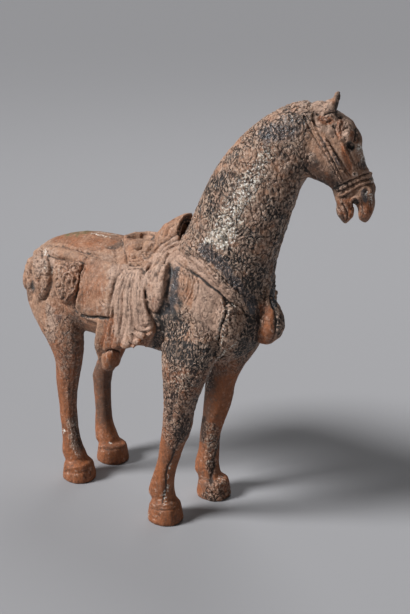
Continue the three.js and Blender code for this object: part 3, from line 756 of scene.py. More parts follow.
headRelief = {
    "patches": [
        {"rise": -1.4, "edge": 1.6, "outlines": [
            [(357, 147), (362, 145), (367, 152), (371, 168), (361, 171), (357.5, 160)],
        ]},
    ],
    "strokes": [
        {"rise": -1.9, "width": 0.9, "paths": [
            [(301.5, 111.6), (305.3, 119.5), (311, 132), (320.6, 149), (330.8, 165), (336, 174), (340, 182)],
            [(317, 132), (322, 140), (328.5, 152), (335, 165), (341, 177), (344, 182)],
            [(328.5, 140), (334.9, 151.4), (340.5, 160), (345.4, 168), (351.2, 178)],
            [(346, 146.3), (351, 156), (356.3, 166.7)],
        ]},
        {"rise": -1.8, "width": 0.75, "paths": [
            [(334.5, 187.4), (344, 183.8), (353, 179.4), (363, 175.2), (373, 172.4)],
            [(336, 192.4), (346, 188.6), (355, 184), (365, 180), (376, 178)],
            [(337.5, 199), (346, 196), (352.5, 191.5), (360, 187.4), (368, 184), (376, 182.5)],
            [(376.4, 183), (377.6, 192), (377.4, 200)],
        ]},
        {"rise": 2.3, "width": 1.1, "paths": [
            [(307, 112), (311.5, 121.6), (317, 134), (325, 149.4), (332.6, 163.4), (339, 175.8), (342.5, 182)],
            [(323, 136), (328.6, 145.4), (335.4, 157.6), (341.8, 168.6), (347.4, 179)],
            [(335.6, 190), (345, 186.2), (354, 181.8), (364, 177.6), (375, 174.6)],
            [(337, 195.8), (346, 192.2), (354, 187.8), (362, 183.8), (371, 180.8)],
            [(351, 215.5), (350.2, 206), (351.4, 199), (355.3, 196), (359, 198.4), (360.6, 203)],
        ]},
        {"rise": 1.5, "width": 1.2, "paths": [
            [(341, 144), (346, 153), (351, 163.5), (353.4, 170)],
            [(339.6, 121), (337.8, 128), (339.4, 137), (342, 142)],
            [(352, 120), (357.4, 126.5), (359.6, 136), (361, 146)],
            [(362, 185.4), (366.6, 186.4), (370.4, 191.6), (371.4, 199)],
        ]},
        {"rise": -1.9, "width": 0.9, "paths": [
            [(355.4, 128), (355.6, 135), (353.4, 142.5)],
            [(343, 131.5), (345, 128.4), (349.6, 127.4)],
            [(336.5, 123), (335.4, 130), (337.2, 138), (340.6, 143.6)],
            [(343.6, 137.5), (346, 141.5)],
            [(361, 199), (361.8, 207), (364, 215)],
            [(369.6, 199), (371.2, 206), (369.4, 213)],
            [(341, 203), (345.4, 208.5), (347.5, 215.5), (347, 221)],
            [(337.6, 207.5), (341.5, 212.5), (344, 219.5)],
            [(303, 164), (308, 172), (316, 179)],
            [(352.2, 203.5), (355.3, 199.6), (358.4, 203)],
        ]},
        {"rise": -2.2, "width": 0.9, "paths": [
            [(315.8, 114.4), (319, 115)],
            [(322.6, 115), (327, 114.2), (333, 112.6), (338, 111.4)],
            [(312.5, 120), (316.6, 126.4), (320.6, 128)],
            [(332.5, 125.4), (335, 128.6)],
            [(321.5, 119), (327.5, 122.4), (331, 120)],
            [(339.4, 96), (339, 103), (336.4, 110)],
            [(334.6, 114.6), (339, 118), (343, 118.6)],
        ]},
        {"rise": -1.7, "width": 0.8, "paths": [
            [(309 + 2.55 * i, 121 + 5 * i), (313 + 2.55 * i, 121.6 + 5 * i)] for i in (0, 2, 4, 5, 6, 8, 11)
        ]},
        {"rise": -1.6, "width": 0.8, "paths": [
            [(325.5 + 2.3 * i, 141 + 4.5 * i), (329.5 + 2.3 * i, 141.6 + 4.5 * i)] for i in (0, 1, 3, 6)
        ]},
        {"rise": -1.6, "width": 0.7, "paths": [
            [(338 + 4.4 * i, 187.6 - 2 * i), (340 + 4.4 * i, 191.6 - 2 * i)] for i in range(8)
        ]},
        {"rise": -1.3, "width": 0.6, "paths": [
            [(357.6 + 2.5 * i, 170 - 0.8 * i), (356.6 + 2.5 * i, 162 - 1.6 * i)] for i in range(6)
        ]},
    ],
    "dabs": [
        (350.4, 146.4, 3.4, 2.7, -5.4), (348, 135.4, 4.2, 4.0, 1.8), (354.4, 173.8, 2.8, 2.6, 3.0),
        (354.4, 173.6, 1.0, 1.0, -3.0), (371.8, 178.8, 3.8, 3.6, 2.8), (371.4, 179, 1.4, 1.4, -3.4),
        (375, 174.4, 2.4, 2.4, 1.6), (366.4, 191.5, 2.0, 3.2, -3.0), (363, 188, 2.2, 2.2, 1.0),
        (328, 119.4, 3.6, 2.4, 2.2), (320, 123, 2.6, 2.2, 1.8), (329.6, 131, 3.6, 3.0, 2.4),
        (336, 116.6, 2.6, 2.0, 1.6), (324, 109, 3.4, 2.2, 1.0), (326, 176, 6, 6, 1.2),
        (341.4, 139, 1.8, 2.0, 1.6), (331.5, 103, 2.0, 5, 0.8), (366, 212, 4.2, 5, 1.4),
        (340, 214, 4, 5, 0.6), (347.4, 218, 2.4, 2.6, 0.8), (333.5, 137, 1.6, 1.6, -2.0),
    ],
}

# The legs as they stand, not mirrored
legRelief = {
    "strokes": [
        {"rise": -1.0, "width": 1.3, "paths": [
            [(172, 382), (172.5, 398), (172, 412), (170, 424)],
            [(187, 424), (181, 437), (174.7, 449), (169.6, 463), (166.5, 471), (166, 482), (165, 493), (161, 507)],
            [(149.5, 496.5), (156, 498), (163, 497.5)],
            [(149, 507.5), (158, 510), (170, 510), (179, 508)],
            [(225, 425), (220.6, 434), (216, 451), (214, 460), (212.4, 472), (210.4, 484)],
            [(199, 479), (208, 480.5), (216, 484)],
            [(64, 459), (72, 461), (84, 459)],
            [(64, 470), (76, 472.5), (90, 470)],
            [(97, 447.5), (108, 449.5), (122, 447)],
            [(77.5, 345), (74.5, 372), (73.5, 400), (75.5, 425), (81, 446)],
        ]},
        {"rise": 1.1, "width": 1.6, "paths": [
            [(167.5, 384), (168, 400), (167, 416), (164, 430)],
            [(149, 503), (156, 505), (166, 505), (178, 503)],
            [(160, 440), (157, 456), (154, 472), (151.5, 488)],
            [(229, 400), (226, 415), (220, 430), (216.5, 446)],
            [(63.5, 465), (74, 467.5), (87, 465)],
            [(98, 445), (109, 446.5), (120, 444)],
            [(68, 380), (68.5, 400), (70, 420), (73, 440)],
        ]},
        {"rise": -0.8, "width": 0.9, "paths": [
            [(152, 516), (155.5, 519), (159, 516.5), (157, 513)],
            [(226, 488), (229, 492), (226.5, 497)],
            [(84, 474), (86, 478)],
            [(90, 471), (91, 476)],
        ]},
    ],
    "dabs": [
        (174, 430, 7, 8, 1.6), (150, 490, 3, 5, 1.8), (184, 400, 6, 12, 1.0), (196, 469, 3, 4, 1.6),
        (212, 432, 5, 8, 1.2), (62, 376, 4, 7, 1.2), (65, 450, 3, 5, 1.4), (94, 376, 3, 5, 1.4),
        (104, 400, 6, 12, 0.8), (97, 437, 3, 4, 1.4),
    ],
}


def sheetOf(*drawings):
    sheet = blankSheet()
    for drawing in drawings:
        drawAll(sheet, drawing, ragged["relief"])
    return sheet


mirroredRelief = sheetOf(saddle, crupper, leaves, cloth, breastStrap, tassel, neckRelief, headRelief)
legsRelief = sheetOf(legRelief)
legTop = {"height": 205 * mm, "fade": 45 * mm}


def lowShare(points):
    return 1 - softStep(points[:, 2], legTop["height"] - legTop["fade"], legTop["height"])


# How far the drawn relief stands up or sinks in at each point
def drawnRelief(points, normals):
    moved, turned = brought(points, normals)
    sight = np.array(towardsCamera())
    upper = readSheet(mirroredRelief, photoSpots(moved)) * softStep(turned @ sight, 0.02, 0.22)
    lower = readSheet(legsRelief, photoSpots(points)) * softStep(normals @ sight, 0.02, 0.3)
    low = lowShare(points)
    return (upper * (1 - low) + lower * low) * mm


# Bare spots in the slip of the forehead and round the eye
bareHead = [
    [(336, 121), (343, 121), (343, 135), (337, 139)],
    [(340, 146), (346, 148), (352, 166), (348, 170)],
    [(319, 116), (333, 117), (333, 124), (320, 125)],
    [(349, 130), (356, 134), (358, 141), (351, 141)],
]

# Where each finish lies on the clay, drawn like the relief above; strengths from 0 to 1
finishes = {
    # vermicular flaking, pale worms standing on dark ground
    "worms": {
        "base": 0.2,
        "patches": [
            {"rise": 1.0, "edge": 5, "outlines": [
                [(180, 250), (187, 224), (196, 196), (207, 171), (222, 145), (243, 119), (266, 101), (298, 92),
                 (312, 116), (306, 140), (308, 162), (303, 180), (298, 200), (292, 222), (286, 245), (280, 268),
                 (270, 290), (266, 306), (260, 330), (258, 352), (246, 368), (232, 362), (216, 368), (208, 392),
                 (200, 420), (186, 436), (166, 430), (156, 400), (156, 372), (158, 345), (166, 322), (180, 318),
                 (186, 306), (196, 300), (196, 285), (186, 274), (196, 276), (222, 300), (236, 300), (222, 282),
                 (206, 262)],
            ]},
            {"rise": -0.85, "edge": 7, "outlines": [
                [(188, 272), (206, 282), (219, 296), (223, 316), (216, 330), (203, 330), (192, 314), (184, 300)],
            ]},
            {"rise": -0.5, "edge": 4, "outlines": [
                [(246, 298), (256, 300), (264, 306), (259, 330), (257, 350), (244, 358), (236, 352), (243, 338),
                 (248, 318)],
            ]},
            {"rise": -0.7, "edge": 4, "outlines": [
                [(166, 344), (180, 341), (192, 346), (196, 356), (184, 362), (168, 358)],
            ]},
            {"rise": 0.36, "edge": 2.5, "outlines": [
                [(57, 262), (73, 261), (81, 264), (82, 278), (79, 289), (66, 302), (57, 294), (54, 277)],
                [(34, 262), (42, 257), (50, 268), (49, 286), (43, 297), (36, 290), (33, 275)],
                [(179, 270), (190, 268), (197, 280), (194, 300), (186, 306), (178, 300)],
            ]},
            {"rise": 0.6, "edge": 2, "ragged": 1.0, "outlines": [
                [(277, 307), (281, 304), (287, 311), (287, 328), (279, 339), (276, 325)],
            ]},
            {"rise": 0.28, "edge": 6, "outlines": [
                [(44, 300), (56, 304), (66, 308), (76, 316), (86, 332), (98, 344), (94, 372), (84, 384), (62, 386),
                 (50, 360), (44, 330)],
                [(300, 98), (318, 98), (334, 106), (342, 116), (352, 120), (356, 134), (344, 142), (332, 134),
                 (318, 124), (306, 116)],
            ]},
        ],
    },
    # black pigment and soot, brown where it is thin, and painted shade in hollows, grooves and on shaded sides
    "soot": {
        "base": 0.07,
        "patches": [
            {"rise": -0.14, "edge": 7, "outlines": [
                [(192, 284), (206, 284), (219, 298), (223, 316), (216, 330), (203, 328), (194, 312)],
            ]},
            {"rise": -0.3, "edge": 4, "outlines": [
                [(57, 262), (73, 261), (80, 264), (80, 278), (77, 289), (66, 302), (57, 294), (54, 277)],
            ]},
            {"rise": 0.2, "edge": 7, "outlines": [
                [(184, 248), (186, 222), (194, 196), (205, 170), (221, 143), (242, 117), (268, 96), (300, 86),
                 (310, 118), (304, 140), (304, 160), (300, 180), (294, 200), (289, 222), (283, 245), (275, 268),
                 (266, 290), (258, 304), (240, 292), (222, 278), (206, 262)],
            ]},
            {"rise": 0.14, "edge": 9, "outlines": [
                [(240, 244), (254, 222), (268, 200), (284, 178), (300, 170), (296, 200), (290, 222), (284, 245),
                 (276, 268), (266, 290), (258, 304), (243, 292), (232, 278), (230, 260)],
                [(262, 132), (276, 118), (294, 112), (306, 118), (303, 142), (292, 152), (276, 152), (264, 146)],
                [(184, 238), (190, 212), (198, 190), (210, 166), (230, 152), (238, 172), (228, 190), (218, 208),
                 (208, 226)],
            ]},
            {"rise": 0.2, "edge": 6, "outlines": [
                [(210, 247), (222, 248), (234, 256), (248, 268), (262, 262), (270, 268), (264, 288), (256, 303),
                 (240, 290), (224, 274)],
            ]},
            {"rise": 0.7, "edge": 4, "outlines": [
                [(160, 346), (172, 336), (190, 341), (206, 345), (214, 351), (212, 362), (200, 370), (184, 368),
                 (168, 366)],
                [(163, 316), (176, 312), (188, 322), (186, 334), (172, 338), (163, 334)],
            ]},
            {"rise": 1.0, "edge": 3.5, "outlines": [
                [(246, 303), (258, 305), (258.5, 330), (257, 347), (248, 356), (238, 356), (234, 348), (241, 338),
                 (248, 320)],
            ]},
            {"rise": 0.3, "edge": 5, "outlines": [
                [(157, 366), (170, 364), (190, 370), (206, 372), (206, 390), (199, 412), (190, 432), (170, 440),
                 (158, 420), (154, 390)],
            ]},
            # black pigment and painted shade in the deep pocket between the cloth and the shoulder
            {"rise": 1.0, "edge": 1.8, "ragged": 0.8, "outlines": [
                [(153, 316), (158, 312), (163.5, 308), (165, 318), (161.5, 334), (157, 347), (152.5, 348),
                 (156, 334), (156.5, 325)],
            ]},
            # painted shade in the pommel's hollow, between the arch and the neck
            {"rise": 0.5, "edge": 3, "ragged": 0.8, "outlines": [
                [(177.5, 233), (179.5, 225), (184, 219), (189.5, 216), (191.5, 218), (188.5, 226), (184, 233),
                 (180, 236)],
            ]},
            {"rise": 0.42, "edge": 2, "ragged": 1.0, "outlines": [
                [(276, 306), (281, 304), (287, 311), (287, 328), (279, 339), (275, 325)],
            ]},
            # painted shade in the dent on the shoulder
            {"rise": 0.38, "edge": 2.6, "ragged": 1.2, "outlines": [
                [(179, 298), (182, 294), (185, 300), (184, 306), (181, 312), (178.5, 307)],
            ]},
            # black crust on the seat's rim and the tassel's black blade; painted shade in the ear's hollow side, the
            # eye pit and the mouth's gap
            {"rise": 0.75, "edge": 1.6, "ragged": 0.7, "outlines": [
                [(136, 235), (139, 231.4), (145, 232.6), (151, 231.8), (153.5, 234), (152, 239), (146, 240),
                 (139, 238.5)],
                [(335.6, 112), (337, 103), (337.6, 95), (338, 88), (343, 90), (344, 104), (341, 112)],
                [(345.5, 143), (350, 141.6), (354, 144.6), (353.4, 150), (348.6, 151)],
                [(270, 290), (274, 289), (277, 298), (276.4, 308), (271.4, 308)],
                [(353, 199), (358, 199), (358, 204), (353, 204)],
            ]},
            # painted shade in the recess between the saddle and the croup
            {"rise": 0.16, "edge": 4, "outlines": [
                [(107, 248), (114, 243), (122, 241.5), (122.4, 246), (117, 249), (110, 250)],
            ]},
            {"rise": 0.12, "edge": 2.6, "ragged": 1.2, "outlines": [
                [(312, 124), (322, 132), (334, 152), (345, 171), (352, 181), (342, 186), (333, 174), (322, 154),
                 (313, 136)],
            ]},
            {"rise": 0.4, "edge": 2, "ragged": 0.8, "outlines": [
                [(332, 112), (334, 102), (337, 92), (340, 90), (342, 100), (340, 112)],
            ]},
            {"rise": 0.26, "edge": 2.6, "ragged": 1.2, "outlines": [
                [(334, 186), (352, 178), (356, 182), (352, 192), (344, 199), (336, 199)],
                [(340, 200), (346, 208), (350, 218), (345, 224), (338, 217), (335, 206)],
                [(334, 210), (340, 216), (345, 223), (342, 226), (335, 220)],
                [(360, 206), (364, 203), (366, 214), (363, 221), (359, 216)],
                [(330, 168), (337, 176), (343, 187), (336, 190), (331, 180)],
                [(369, 186), (375, 182), (377.5, 192), (377, 202), (372, 204), (370, 196)],
            ]},
            # darkens the cheek: soot and painted shade on the side of the head turned from the light
            {"rise": 0.5, "edge": 8, "outlines": [
                [(298, 154), (312, 156), (324, 166), (332, 180), (334, 190), (326, 194), (310, 178), (300, 172)],
            ]},
            {"rise": 0.34, "edge": 5, "outlines": [
                [(64, 318), (76, 316), (86, 330), (98, 344), (96, 372), (86, 384), (72, 380), (66, 350)],
                [(26, 284), (32, 284), (31, 298), (27, 296)],
                [(36, 286), (50, 282), (46, 297), (40, 298)],
                [(352, 118), (358, 124), (361, 140), (357, 142), (354, 130)],
            ]},
            {"rise": 0.24, "edge": 6, "outlines": [
                [(168, 270), (180, 268), (180, 282), (178, 298), (174, 314), (162, 316), (165, 296), (167, 280)],
            ]},
        ],
        "strokes": [
            # painted shadow under the saddle flap's lower edge
            {"rise": 0.5, "width": 1.3, "paths": [
                [(80, 315.5), (92, 317.4), (111, 318)],
            ]},
            # dark lines in the grooves they follow: painted shade over dark paint
            {"rise": 0.8, "width": 1.3, "paths": [
                [(223.4, 297), (226.6, 306), (225.8, 316), (220.8, 328), (218.6, 344), (217.5, 355)],
                [(376.4, 183), (377.6, 192), (377.4, 200)],
                [(355.4, 128), (355.8, 135), (353.6, 142)],
                [(339.6, 92), (340.6, 99), (338.6, 107), (336, 111.4)],
                [(322.6, 115), (327, 114.2), (333, 112.6)],
                [(334, 113), (338, 117), (343, 118.4)],
                [(190, 268.6), (196, 275), (204, 282), (218, 291.4), (228, 301.6), (240, 308.6)],
            ]},
        ],
        # painted shade in the neck's dents, the poll's holes and the noseband's knot and ring
        "dabs": [
            (225.5, 240.8, 2.6, 4.4, 0.8), (229.4, 259.2, 2, 2, 0.8), (317.4, 114.6, 2.2, 1.3, 0.9),
            (333.6, 127, 1.6, 2.2, 0.9), (371.4, 179, 1.8, 1.8, 0.8), (354.4, 173.6, 1.4, 1.4, 0.7),
        ],
    },
    # pinkish buff coat that is left on the clay
    "slip": {
        "base": 0.18,
        "patches": [
            {"rise": 0.45, "edge": 3, "outlines": [
                [(146, 262), (160, 246), (176, 236), (184, 238), (198, 253), (214, 269), (230, 282), (242, 293),
                 (248, 302), (238, 308), (224, 299), (206, 283), (190, 272), (178, 268), (172, 280), (166, 300),
                 (158, 312), (148, 306), (144, 285)],
            ]},
            {"rise": 0.8, "edge": 7, "outlines": [
                [(196, 286), (210, 286), (222, 300), (225, 318), (217, 334), (200, 332), (192, 314)],
            ]},
            {"rise": 0.55, "edge": 4, "outlines": [
                [(112, 268), (142, 268), (148, 310), (152, 326), (140, 340), (124, 345), (116, 340), (114, 310)],
                [(34, 258), (50, 248), (54, 262), (48, 272), (36, 274)],
                [(46, 306), (54, 308), (56, 326), (54, 344), (48, 334)],
            ]},
            {"rise": 0.22, "edge": 4, "outlines": [
                [(102, 252), (112, 250), (112, 300), (107, 308), (105, 290)],
                [(80, 306), (110, 303), (112, 314), (82, 313)],
            ]},
            {"rise": 0.3, "edge": 8, "outlines": [
                [(196, 246), (214, 204), (236, 172), (262, 142), (290, 132), (302, 150), (298, 190), (288, 222),
                 (262, 232), (240, 252), (212, 256)],
            ]},
            {"rise": 0.7, "edge": 4, "outlines": [
                [(298, 102), (320, 100), (332, 104), (344, 114), (353, 122), (350, 136), (338, 138), (330, 140),
                 (320, 130), (312, 122), (304, 116)],
            ]},
            {"rise": 0.5, "edge": 4, "outlines": [
                [(300, 150), (311, 152), (310, 162), (301, 160)],
            ]},
            {"rise": -0.7, "edge": 1.5, "ragged": 0.8, "outlines": bareHead},
            {"rise": 0.5, "edge": 2, "ragged": 0.8, "outlines": [
                [(343, 127), (352, 127), (353, 135), (346, 139), (342, 134)],
                [(356, 138), (361, 140), (368, 154), (370, 163), (362, 165), (356, 154)],
            ]},
        ],
        "dabs": [
            (324.7 + 3.05 * i, 146.3 + 5.6 * i, 1.3, 1.8, 0.6) for i in range(5)
        ],
    },
    # white salts, and painted glints and highlights where light catches the glossy surface
    "saltAndGlint": {
        "base": 0.05,
        "patches": [
            # painted glints where light catches the glossy neck
            {"rise": 0.4, "edge": 4, "outlines": [
                [(194, 247), (202, 238), (214, 232), (226, 226), (234, 230), (234, 240), (226, 247), (216, 247),
                 (206, 245), (200, 249)],
            ]},
            {"rise": 0.38, "edge": 9, "outlines": [
                [(204, 236), (216, 210), (228, 188), (242, 170), (256, 152), (270, 144), (276, 152), (264, 178),
                 (252, 204), (242, 228), (228, 244), (212, 248)],
            ]},
            {"rise": 0.24, "edge": 4, "outlines": [
                [(40, 238), (56, 236), (50, 262), (62, 262), (60, 278), (40, 270), (36, 252)],
                [(172, 370), (190, 372), (196, 400), (186, 430), (172, 424)],
                [(98, 296), (104, 298), (108, 306), (104, 311), (99, 306)],
            ]},
            # painted highlights on the noseband knots and the nostril, and a pale patch on the nose front
            {"rise": 0.5, "edge": 1.6, "ragged": 0.5, "outlines": [
                [(352, 171), (357, 171), (357.4, 177), (352.6, 177)],
                [(369, 176), (374, 176), (374, 182), (369.4, 182)],
                [(364, 194), (371, 190), (373, 200), (370, 206), (368, 200)],
                [(356, 146), (361, 143), (366, 152), (368, 160), (362, 162), (358, 156)],
            ]},
        ],
        "strokes": [
            {"rise": 0.6, "width": 1.0, "paths": [
                [(88, 233), (101, 235), (112, 237.6)],
                [(41.5, 241.5), (44, 243.6)],
                [(44, 248), (45, 256)],
                [(238, 341), (230.7, 347.5), (223, 353.5), (216.6, 360), (211.5, 371), (208, 380)],
                [(230, 301), (236, 306.6), (243, 309)],
                [(221, 298), (223.8, 307), (223, 317), (218.6, 328), (216, 343)],
                [(229, 306), (227.8, 317), (223.6, 328), (221, 344), (219.6, 354)],
            ]},
        ],
        "dabs": [
            (324.7 + 3.05 * i, 146.3 + 5.6 * i, 1.4, 1.8, 0.4) for i in range(5)
        ],
    },
    # smooth black with a gloss, lightened to blue-grey by a painted sheen
    "sheen": {
        "base": 0.0,
        "patches": [
            {"rise": 0.9, "edge": 2.6, "outlines": [
                [(197, 250), (203, 244), (211, 246), (220, 254), (226, 262), (236, 276), (246, 288), (255, 300),
                 (255, 312), (250, 316), (246, 304), (240, 294), (226, 279), (210, 263)],
            ]},
            {"rise": 0.62, "edge": 6, "outlines": [
                [(169, 270), (176, 266), (182, 266), (181, 280), (179, 291), (177, 302), (171, 315),
                 (162, 314), (165, 298), (168, 284)],
            ]},
            {"rise": 0.8, "edge": 1.6, "ragged": 0.7, "outlines": [
                [(270, 291), (274, 291), (277, 299), (276, 307), (271, 308)],
                [(332, 151), (335.6, 152), (339, 159), (341, 166), (337, 164), (334, 158)],
                [(361, 190), (365, 188), (368, 196), (366, 203), (362, 198)],
            ]},
            {"rise": 0.45, "edge": 2.5, "ragged": 1.6, "outlines": [
                [(356, 160), (366, 156), (370, 168), (357, 171)],
            ]},
            {"rise": 0.4, "edge": 6, "outlines": [
                [(252, 138), (262, 128), (282, 116), (300, 114), (306, 126), (300, 134), (284, 138), (266, 142)],
            ]},
            {"rise": 0.32, "edge": 7, "outlines": [
                [(262, 134), (278, 126), (296, 130), (298, 144), (280, 148), (264, 150)],
            ]},
            {"rise": 0.5, "edge": 2.5, "ragged": 1.0, "outlines": [
                [(54.5, 314), (62, 314), (63, 320), (56, 321)],
                [(320, 138), (324, 139), (327, 146), (323, 147)],
            ]},
        ],
    },
    # strong orange where the bare clay shows
    "amber": {
        "base": 0.35,
        "patches": [
            {"rise": 0.22, "edge": 5, "outlines": [
                [(84, 262), (96, 256), (104, 262), (102, 300), (100, 312), (82, 310), (80, 292)],
                [(56, 236), (90, 232), (118, 238), (106, 252), (80, 248), (58, 243)],
                [(50, 300), (66, 304), (84, 320), (98, 344), (96, 384), (62, 386), (52, 340)],
                [(52, 262), (82, 262), (82, 280), (72, 300), (58, 300)],
            ]},
            {"rise": 0.45, "edge": 4, "outlines": [
                [(110, 316), (118, 318), (122, 345), (106, 351), (102, 340)],
                [(134, 320), (152, 322), (152, 334), (146, 348), (130, 351), (132, 336)],
                [(153, 298), (163, 296), (160, 308), (154, 312)],
                [(103, 354), (122, 354), (120, 366), (108, 371)],
            ]},
            {"rise": 0.1, "edge": 5, "outlines": [
                [(179, 272), (192, 268), (204, 280), (202, 296), (188, 300), (180, 294)],
            ]},
            {"rise": 0.32, "edge": 6, "outlines": [
                [(157, 368), (170, 364), (190, 368), (208, 372), (206, 392), (199, 412), (190, 432), (170, 440),
                 (158, 420), (154, 390)],
            ]},
            {"rise": 0.6, "edge": 5, "outlines": [
                [(217, 362), (228, 358), (246, 358), (244, 376), (238, 398), (228, 420), (217, 410)],
            ]},
            {"rise": 0.65, "edge": 2.5, "ragged": 0.8, "outlines": [
                [(258, 306), (270, 308), (275, 318), (274, 334), (268, 344), (257, 350), (256, 330)],
                [(304, 160), (314, 164), (328, 172), (334, 184), (326, 190), (312, 176)],
                [(337, 202), (350, 198), (352, 212), (348, 222), (340, 216)],
                [(360, 203), (371, 203), (371, 215), (366, 222), (360, 216)],
            ]},
            {"rise": 0.65, "edge": 1.5, "ragged": 0.8, "outlines": bareHead},
        ],
    },
    # long streaks and fine folds that run down the cloth and the legs
    "streaks": {
        "base": 0.12,
        "patches": [
            {"rise": 0.9, "edge": 2.5, "outlines": [
                [(124, 268), (142, 267), (148, 262), (166, 262), (172, 270), (168, 290), (160, 312), (150, 308),
                 (148, 316), (153, 330), (149, 342), (140, 350), (122, 352), (104, 352), (108, 330), (111, 305),
                 (115, 282)],
            ]},
            {"rise": 0.35, "edge": 4, "outlines": [
                [(84, 262), (96, 256), (112, 262), (114, 300), (110, 314), (82, 312), (80, 292)],
            ]},
            {"rise": 0.6, "edge": 3, "outlines": [
                [(170, 275), (176, 270), (184, 274), (180, 290), (177, 308), (168, 330), (160, 350), (152, 350),
                 (156, 320), (166, 300)],
            ]},
        ],
    },
    # a green stain on the croup
    "moss": {
        "base": 0.0,
        "patches": [{"rise": 1.2, "edge": 1.5, "outlines": [
            [(62, 235), (72, 233), (84, 233.8), (83, 235.8), (72, 236.6), (63, 237.4)],
        ]}],
    },
}

# Below the trunk the clay is barer and more orange, with marks of its own on each leg;
# "back" is the strength on the sides turned away, which carry no marks
blackLines = [
    [(187, 424), (181, 437), (174.7, 449), (169.6, 463), (166.5, 470), (166, 482), (165, 493), (161, 508)],
    [(225, 425), (220.6, 434), (216, 451), (214, 460), (212.4, 472), (210.4, 484)],
    [(242, 380), (236, 398), (230, 416), (225, 425)],
]
hindLegFront = [
    (58, 352), (98, 348), (96, 368), (90, 386), (86, 410), (85, 446), (72, 446), (68, 420), (64, 392), (58, 372),
]
legFinish = {
    "worms": {"base": 0.08, "back": 0.16, "patches": [
        {"rise": 0.26, "edge": 6, "outlines": [hindLegFront]},
        {"rise": 0.8, "edge": 4, "outlines": [
            [(164, 370), (212, 370), (205, 395), (193, 420), (182, 443), (172, 452), (165, 440), (161, 420),
             (162, 395)],
            [(206, 426), (218, 428), (217, 450), (214, 470), (207, 470), (205, 450)],
            [(206, 484), (226, 480), (232, 496), (224, 504), (208, 502)],
        ]},
    ]},
    "soot": {"base": 0.07, "back": 0.2, "patches": [
        {"rise": 0.12, "edge": 6, "outlines": [hindLegFront]},
        {"rise": 0.36, "edge": 5, "outlines": [
            [(160, 372), (212, 370), (206, 392), (194, 420), (188, 436), (178, 444), (166, 426), (162, 400)],
        ]},
        # painted shade: the top of the far hind leg under the belly, and the far foreleg's side turned from the light
        {"rise": 0.34, "edge": 8, "outlines": [
            [(92, 362), (124, 362), (118, 390), (113, 414), (104, 428), (96, 420), (92, 392)],
            [(204, 372), (219, 372), (216, 400), (209, 426), (203, 440), (201, 410)],
        ]},
        {"rise": 0.42, "edge": 2.2, "outlines": [
            [(170, 376), (175, 376), (175, 396), (174, 414), (170, 418), (169.5, 398)],
            [(180, 420), (190, 418), (188, 428), (181, 440), (177, 440)],
            [(206, 482), (214, 480), (214, 490), (216, 501), (209, 503), (205, 494)],
        ]},
        # the first outline is painted shade down the near hind leg's shaded right side
        {"rise": 0.26, "edge": 3, "outlines": [
            [(82, 340), (90, 336), (84, 356), (80, 378), (79, 400), (79, 420), (85, 446), (80, 450), (75, 430),
             (75, 400), (77, 370)],
            [(199, 470), (205, 476), (203, 492), (198, 488)],
        ]},
    ], "strokes": [
        {"rise": 0.95, "width": 0.6, "paths": blackLines},
        # broad painted shade down the far foreleg's side turned from the light
        {"rise": 0.35, "width": 3, "paths": [
            [(204, 415), (203, 430), (202, 444)],
            [(215, 448), (211, 470), (211, 484)],
        ]},
    ]},
    "slip": {"base": 0.0, "back": 0.16, "patches": [
        {"rise": 0.26, "edge": 6, "outlines": [hindLegFront]},
        {"rise": 0.26, "edge": 4, "outlines": [
            [(167, 418), (180, 416), (184, 426), (176, 442), (170, 448), (166, 436)],
            [(207, 430), (217, 430), (216, 448), (213, 466), (207, 466)],
            [(164, 502), (179, 502), (180, 509), (166, 509)],
            [(68, 418), (78, 420), (80, 440), (82, 456), (74, 456), (68, 436)],
            [(216, 474), (224, 474), (226, 484), (218, 486)],
            [(220, 484), (228, 486), (228, 500), (220, 500)],
        ]},
    ]},
    "saltAndGlint": {"base": 0.04, "patches": [
        # painted highlight specks on the near hind leg's front, and white salts on the far foreleg
        {"rise": 0.3, "edge": 3, "outlines": [
            [(68, 418), (78, 420), (80, 440), (80, 456), (73, 456), (68, 436)],
            [(216, 474), (224, 474), (226, 484), (218, 486)],
            [(207, 430), (217, 430), (216, 448), (213, 466), (207, 466)],
        ]},
    ], "strokes": [
        {"rise": 0.9, "width": 0.9, "paths": [
            [(171.4, 463), (169.2, 471)],
            [(168.8, 474), (168.3, 480)],
            [(168.8, 484), (167.4, 491)],
            [(164.6, 489), (164, 497)],
            [(167, 495), (163.6, 507)],
            [(208, 380), (203, 394), (198, 406)],
        ]},
    ], "dabs": [(148, 515, 1.5, 1.5, 1.0), (64, 431.5, 1.4, 1.6, 1.2), (110, 443, 2, 2, 0.8)]},
    "sheen": {"base": 0.0},
    "streaks": {"base": 0.6},
    "amber": {"base": 0.9, "patches": [
        {"rise": 0.28, "edge": 4, "outlines": [
            [(94, 446), (130, 446), (130, 470), (94, 470)],
            [(144, 440), (162, 440), (160, 500), (142, 500)],
            [(218, 372), (240, 372), (230, 416), (216, 440), (214, 410)],
        ]},
        {"rise": -0.3, "edge": 5, "outlines": [
            [(160, 372), (212, 370), (206, 392), (194, 420), (180, 436), (166, 426), (162, 400)],
        ]},
    ]},
    "moss": {"base": 0.0},
}


def finishSheets(finish):
    return {
        name: drawAll(blankSheet(drawing["base"]), drawing, ragged["finish"])
        for name, drawing in finish.items()
    }


upperSheets = finishSheets(finishes)
legSheets = finishSheets(legFinish)

# Dirt and painted shade gather in the drawn grooves: from this depth on, this much soot for each millimetre
grooveDirtAndShade = {"from": 0.5, "share": 0.23, "most": 0.5}
for sheets, relief in ((upperSheets, mirroredRelief), (legSheets, legsRelief)):
    depth = np.maximum(-relief - grooveDirtAndShade["from"], 0)
    sheets["soot"] += np.minimum(depth * grooveDirtAndShade["share"], grooveDirtAndShade["most"])


